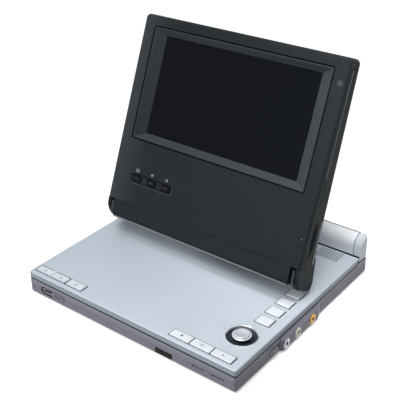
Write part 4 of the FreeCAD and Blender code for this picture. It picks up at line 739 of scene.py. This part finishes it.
# Key tray
# The three keys stand in one pill-shaped tray of the bezel, with a black wall. A thin pale lip
# along the tray's lower edge is a painted highlight.
FIRST_KEY, KEY_STEP = 27.1, 16.3
TRAY_LEVEL = 38.7
HIGHLIGHT_TOP = 1.5
key_spots = [FIRST_KEY + KEY_STEP * k for k in range(3)]
tray = open_frame("tray_liner", (0, 0, 0), width=47.0, height=8.4, band=0.55, corner=4.1, thick=0.8)
settle(tray, gasket_black, "screen", place=on_screen(key_spots[1], TRAY_LEVEL, RECESS))
highlight_and_dash_grey = finish("highlight_and_dash_grey", tint(72, 78, 83), 0.4, specular=0.3, grain=0.3, relief=0.004)
highlight_lip = open_frame("tray_highlight", (0, 0, 0), width=47.9, height=9.3, band=0.4, corner=4.5, thick=0.04)
cut_off(HIGHLIGHT_TOP)
settle(highlight_lip, highlight_and_dash_grey, "screen", place=on_screen(key_spots[1], TRAY_LEVEL))

# Seam highlights
# A narrow pale strip in the seam between the screen's two shells, on each side, is a painted
# highlight along the seam's edge. It lies in the groove that the shells leave between them.
STRIP_MIDDLE, STRIP_DEEP = 130, -6.9
STRIP_WIDE, STRIP_LONG, STRIP_THICK = 0.5, 84, 0.6
STRIP_CORNER = 0.15
seam_highlight_grey = finish("seam_highlight_grey", tint(128, 137, 148), 0.35, specular=0.4, grain=0.4, relief=0.004, wear_and_highlight=0.3)
for side, edge, turn in (("left", 0.6, -90), ("right", 200.4, 90)):
    strip = begin(bpy.ops.mesh.primitive_plane_add, "seam_highlight_" + side, size=1.0)
    bpy.ops.transform.resize(value=(STRIP_WIDE * MM, STRIP_LONG * MM, 1))
    bpy.ops.mesh.bevel(offset=STRIP_CORNER * MM, segments=2, affect="VERTICES")
    thicken(STRIP_THICK)
    outwards = Matrix.Rotation(radians(turn), 4, "Y")
    settle(
        strip, seam_highlight_grey, "screen", place=on_screen(edge, STRIP_MIDDLE, STRIP_DEEP) @ outwards
    )

# Side plug
# A round brown plug closes the hole of a screw near the top of the screen's right side.
# Its end is hollowed, so that a rim stands round it.
PLUG_PLACE = (200.8, 175.4, -4.6)
plug_brown = finish("plug_brown", tint(62, 54, 50), 0.4, specular=0.3, grain=0.3, relief=0.01)
plug = domed_stud("side_plug", radius=1.5, height=1.0)
sink_middle(plug, rim=0.25, depth=0.5)
outwards = Matrix.Rotation(radians(90), 4, "Y")
settle(plug, plug_brown, "screen", place=on_screen(*PLUG_PLACE) @ outwards)

# Signs of the screen
# A picture outline, a sun and three dots are printed in pale ink over the keys, and each key has
# a short dash on its face. They are generic signs for shape, brightness and colour.
SIGN_LEVEL = 46.0
RAY_REACH, DOT_REACH = 1.25, 0.85
DASH_LEVEL, KEY_FACE = 38.9, -0.1
white_ink = finish("white_ink", tint(176, 180, 184), 0.6, specular=0.2, grain=0.3, relief=0.003, wear_and_highlight=0.1)
signs = open_print("screen_signs")
outline_x, sun_x, dots_x = key_spots
for side in (-1, 1):
    shape(BAR, outline_x + side * 1.5, SIGN_LEVEL, 0, 0.35, 2.4)
    shape(BAR, outline_x, SIGN_LEVEL + side * 1.05, 0, 3.0, 0.35)
shape(12, sun_x, SIGN_LEVEL, 0, 1.1, 1.1)
for k in range(8):
    turn = k * pi / 4
    shape(6, sun_x + RAY_REACH * cos(turn), SIGN_LEVEL + RAY_REACH * sin(turn), 0, 0.45, 0.45)
for k in range(3):
    turn = pi / 2 + k * 2 * pi / 3
    shape(10, dots_x + DOT_REACH * cos(turn), SIGN_LEVEL + DOT_REACH * sin(turn), 0, 1.0, 1.0)
thicken(INK)
settle(signs, white_ink, "screen", place=SCREEN)
for k, spot in enumerate(key_spots, start=1):
    dash = open_print(f"key_dash_{k}")
    shape(BAR, 0, 0, 0, 3.8, 0.45)
    thicken(INK)
    settle(dash, highlight_and_dash_grey, f"screen_key_{k}", place=on_screen(spot, DASH_LEVEL, KEY_FACE))

# Screen lamp
# A tiny blue dome at the right of the bezel shows that the screen is on.
# It is the end of a light guide, pressed in from behind.
SCREEN_LAMP_PLACE = (196.4, 38.1)
lamp_blue = finish("lamp_blue", tint(96, 100, 140), 0.2, coat=0.5, grain=0.2, relief=0.004, wear_and_highlight=0.1)
dot = domed_stud("screen_lamp", radius=0.7, height=0.5)
settle(dot, lamp_blue, "screen", place=on_screen(*SCREEN_LAMP_PLACE))

# Floor
# A plain white sheet that keeps the shadow. It throws less light up at the object than it shows,
# so that upright faces stay a little darker than the deck.
FLOOR_SIZE = 9.0
floor = begin(bpy.ops.mesh.primitive_grid_add, "floor", x_subdivisions=2, y_subdivisions=2, size=FLOOR_SIZE)
bpy.ops.object.mode_set(mode="OBJECT")
floor_white = bpy.data.materials.new("floor_white")
floor_white.use_nodes = True
sheet = floor_white.node_tree.nodes["Principled BSDF"]
sheet.inputs["Base Color"].default_value = (0.96, 0.96, 0.96, 1)
sheet.inputs["Roughness"].default_value = 0.9
sheet.inputs["Specular IOR Level"].default_value = 0.1
sheet.inputs["Emission Color"].default_value = (1, 1, 1, 1)
sheet.inputs["Emission Strength"].default_value = 0.4


def rays_that_see(tree):
    """1 for rays from the camera, a gloss or through glass, and 0 for the light that falls on things."""
    ray = tree.nodes.new("ShaderNodeLightPath")
    total = ray.outputs["Is Camera Ray"]
    for name in ("Is Glossy Ray", "Is Transmission Ray"):
        step = tree.nodes.new("ShaderNodeMath")
        step.operation = "MAXIMUM"
        tree.links.new(total, step.inputs[0])
        tree.links.new(ray.outputs[name], step.inputs[1])
        total = step.outputs[0]
    return total


def seen_or_lit(tree, lit, seen):
    """Shows one shader to the rays that see, and gives the other's light to everything else."""
    choice = tree.nodes.new("ShaderNodeMixShader")
    for socket, source in zip(choice.inputs, (rays_that_see(tree), lit, seen)):
        tree.links.new(source, socket)
    return choice.outputs["Shader"]


dim = node(floor_white, "BsdfDiffuse", Color=(0.19, 0.19, 0.2, 1))
floor_tree = floor_white.node_tree
surface = seen_or_lit(floor_tree, dim.outputs["BSDF"], sheet.outputs["BSDF"])
floor_tree.links.new(surface, floor_tree.nodes["Material Output"].inputs["Surface"])
floor.data.materials.append(floor_white)

# Light
# The room is an even white that shines weakly. A broad soft light falls from above, one lamp
# lifts the front of the deck, one the upright faces, and a small one the bar's right end.
ROOM_STRENGTH, SEEN_STRENGTH = 0.215, 1.0
room = bpy.data.worlds.new("studio")
bpy.context.scene.world = room
room.use_nodes = True
room_tree = room.node_tree
room_tree.nodes.clear()


def white_light(strength):
    """White light from all around, of the given strength."""
    background = room_tree.nodes.new("ShaderNodeBackground")
    background.inputs["Color"].default_value = (1, 1, 1, 1)
    background.inputs["Strength"].default_value = strength
    return background.outputs["Background"]


room_out = room_tree.nodes.new("ShaderNodeOutputWorld")
around = seen_or_lit(room_tree, white_light(ROOM_STRENGTH), white_light(SEEN_STRENGTH))
room_tree.links.new(around, room_out.inputs["Surface"])


def light(name, kind, place, target, **settings):
    """A lamp of the given kind, which shines from place towards target."""
    source = bpy.data.lights.new(name, kind)
    for setting, value in settings.items():
        setattr(source, setting, value)
    holder = bpy.data.objects.new(name, source)
    bpy.context.scene.collection.objects.link(holder)
    holder.location = place
    holder.rotation_euler = (Vector(target) - Vector(place)).to_track_quat("-Z", "Y").to_euler()
    return holder


light("over_light", "SUN", place=(-0.2, -0.3, 1.0), target=(0, 0, 0), energy=1.3, angle=radians(50))
light("near_lamp", "AREA", place=(0.02, -0.3, 0.42), target=(0.0, -0.12, 0), size=0.3, energy=1.35)
front_lamp = light(
    "front_lamp", "AREA", place=(-0.35, -0.9, 0.3), target=(0, -0.1, 0.02), size=0.5, energy=1.9
)
front_lamp.visible_glossy = False
light(
    "back_lamp", "AREA", place=(0.18, -0.01, 0.42), target=(0.1, 0.09, 0.02), size=0.12, energy=0.09,
    spread=radians(50)
)

# Camera
# It stands in front and to the right, a little above, as the photographer did. Its place, turn
# and focal length were fitted to the corners of the base and of the screen.
CAMERA_PLACE = (375.88 * MM, -483.75 * MM, 419.76 * MM)
CAMERA_SIDE = 37.92
CAMERA_HEIGHT = 27.2
CAMERA_TILT = -0.68
SENSOR_WIDTH = 36.0
FOCAL_PIXELS, PHOTO_WIDTH = 847.54, 400
eye = bpy.data.cameras.new("eye")
eye.sensor_width = SENSOR_WIDTH
eye.lens = FOCAL_PIXELS * SENSOR_WIDTH / PHOTO_WIDTH
eye.shift_x = 0.0028
eye.shift_y = -0.0656
eye.clip_start = 0.01
stand = bpy.data.objects.new("eye", eye)
bpy.context.scene.collection.objects.link(stand)
stand.location = CAMERA_PLACE
stand.rotation_euler = (
    Matrix.Rotation(radians(CAMERA_SIDE), 4, "Z")
    @ Matrix.Rotation(radians(90 - CAMERA_HEIGHT), 4, "X")
    @ Matrix.Rotation(radians(CAMERA_TILT), 4, "Z")
).to_euler()
bpy.context.scene.camera = stand
bpy.context.scene.view_settings.view_transform = "Standard"
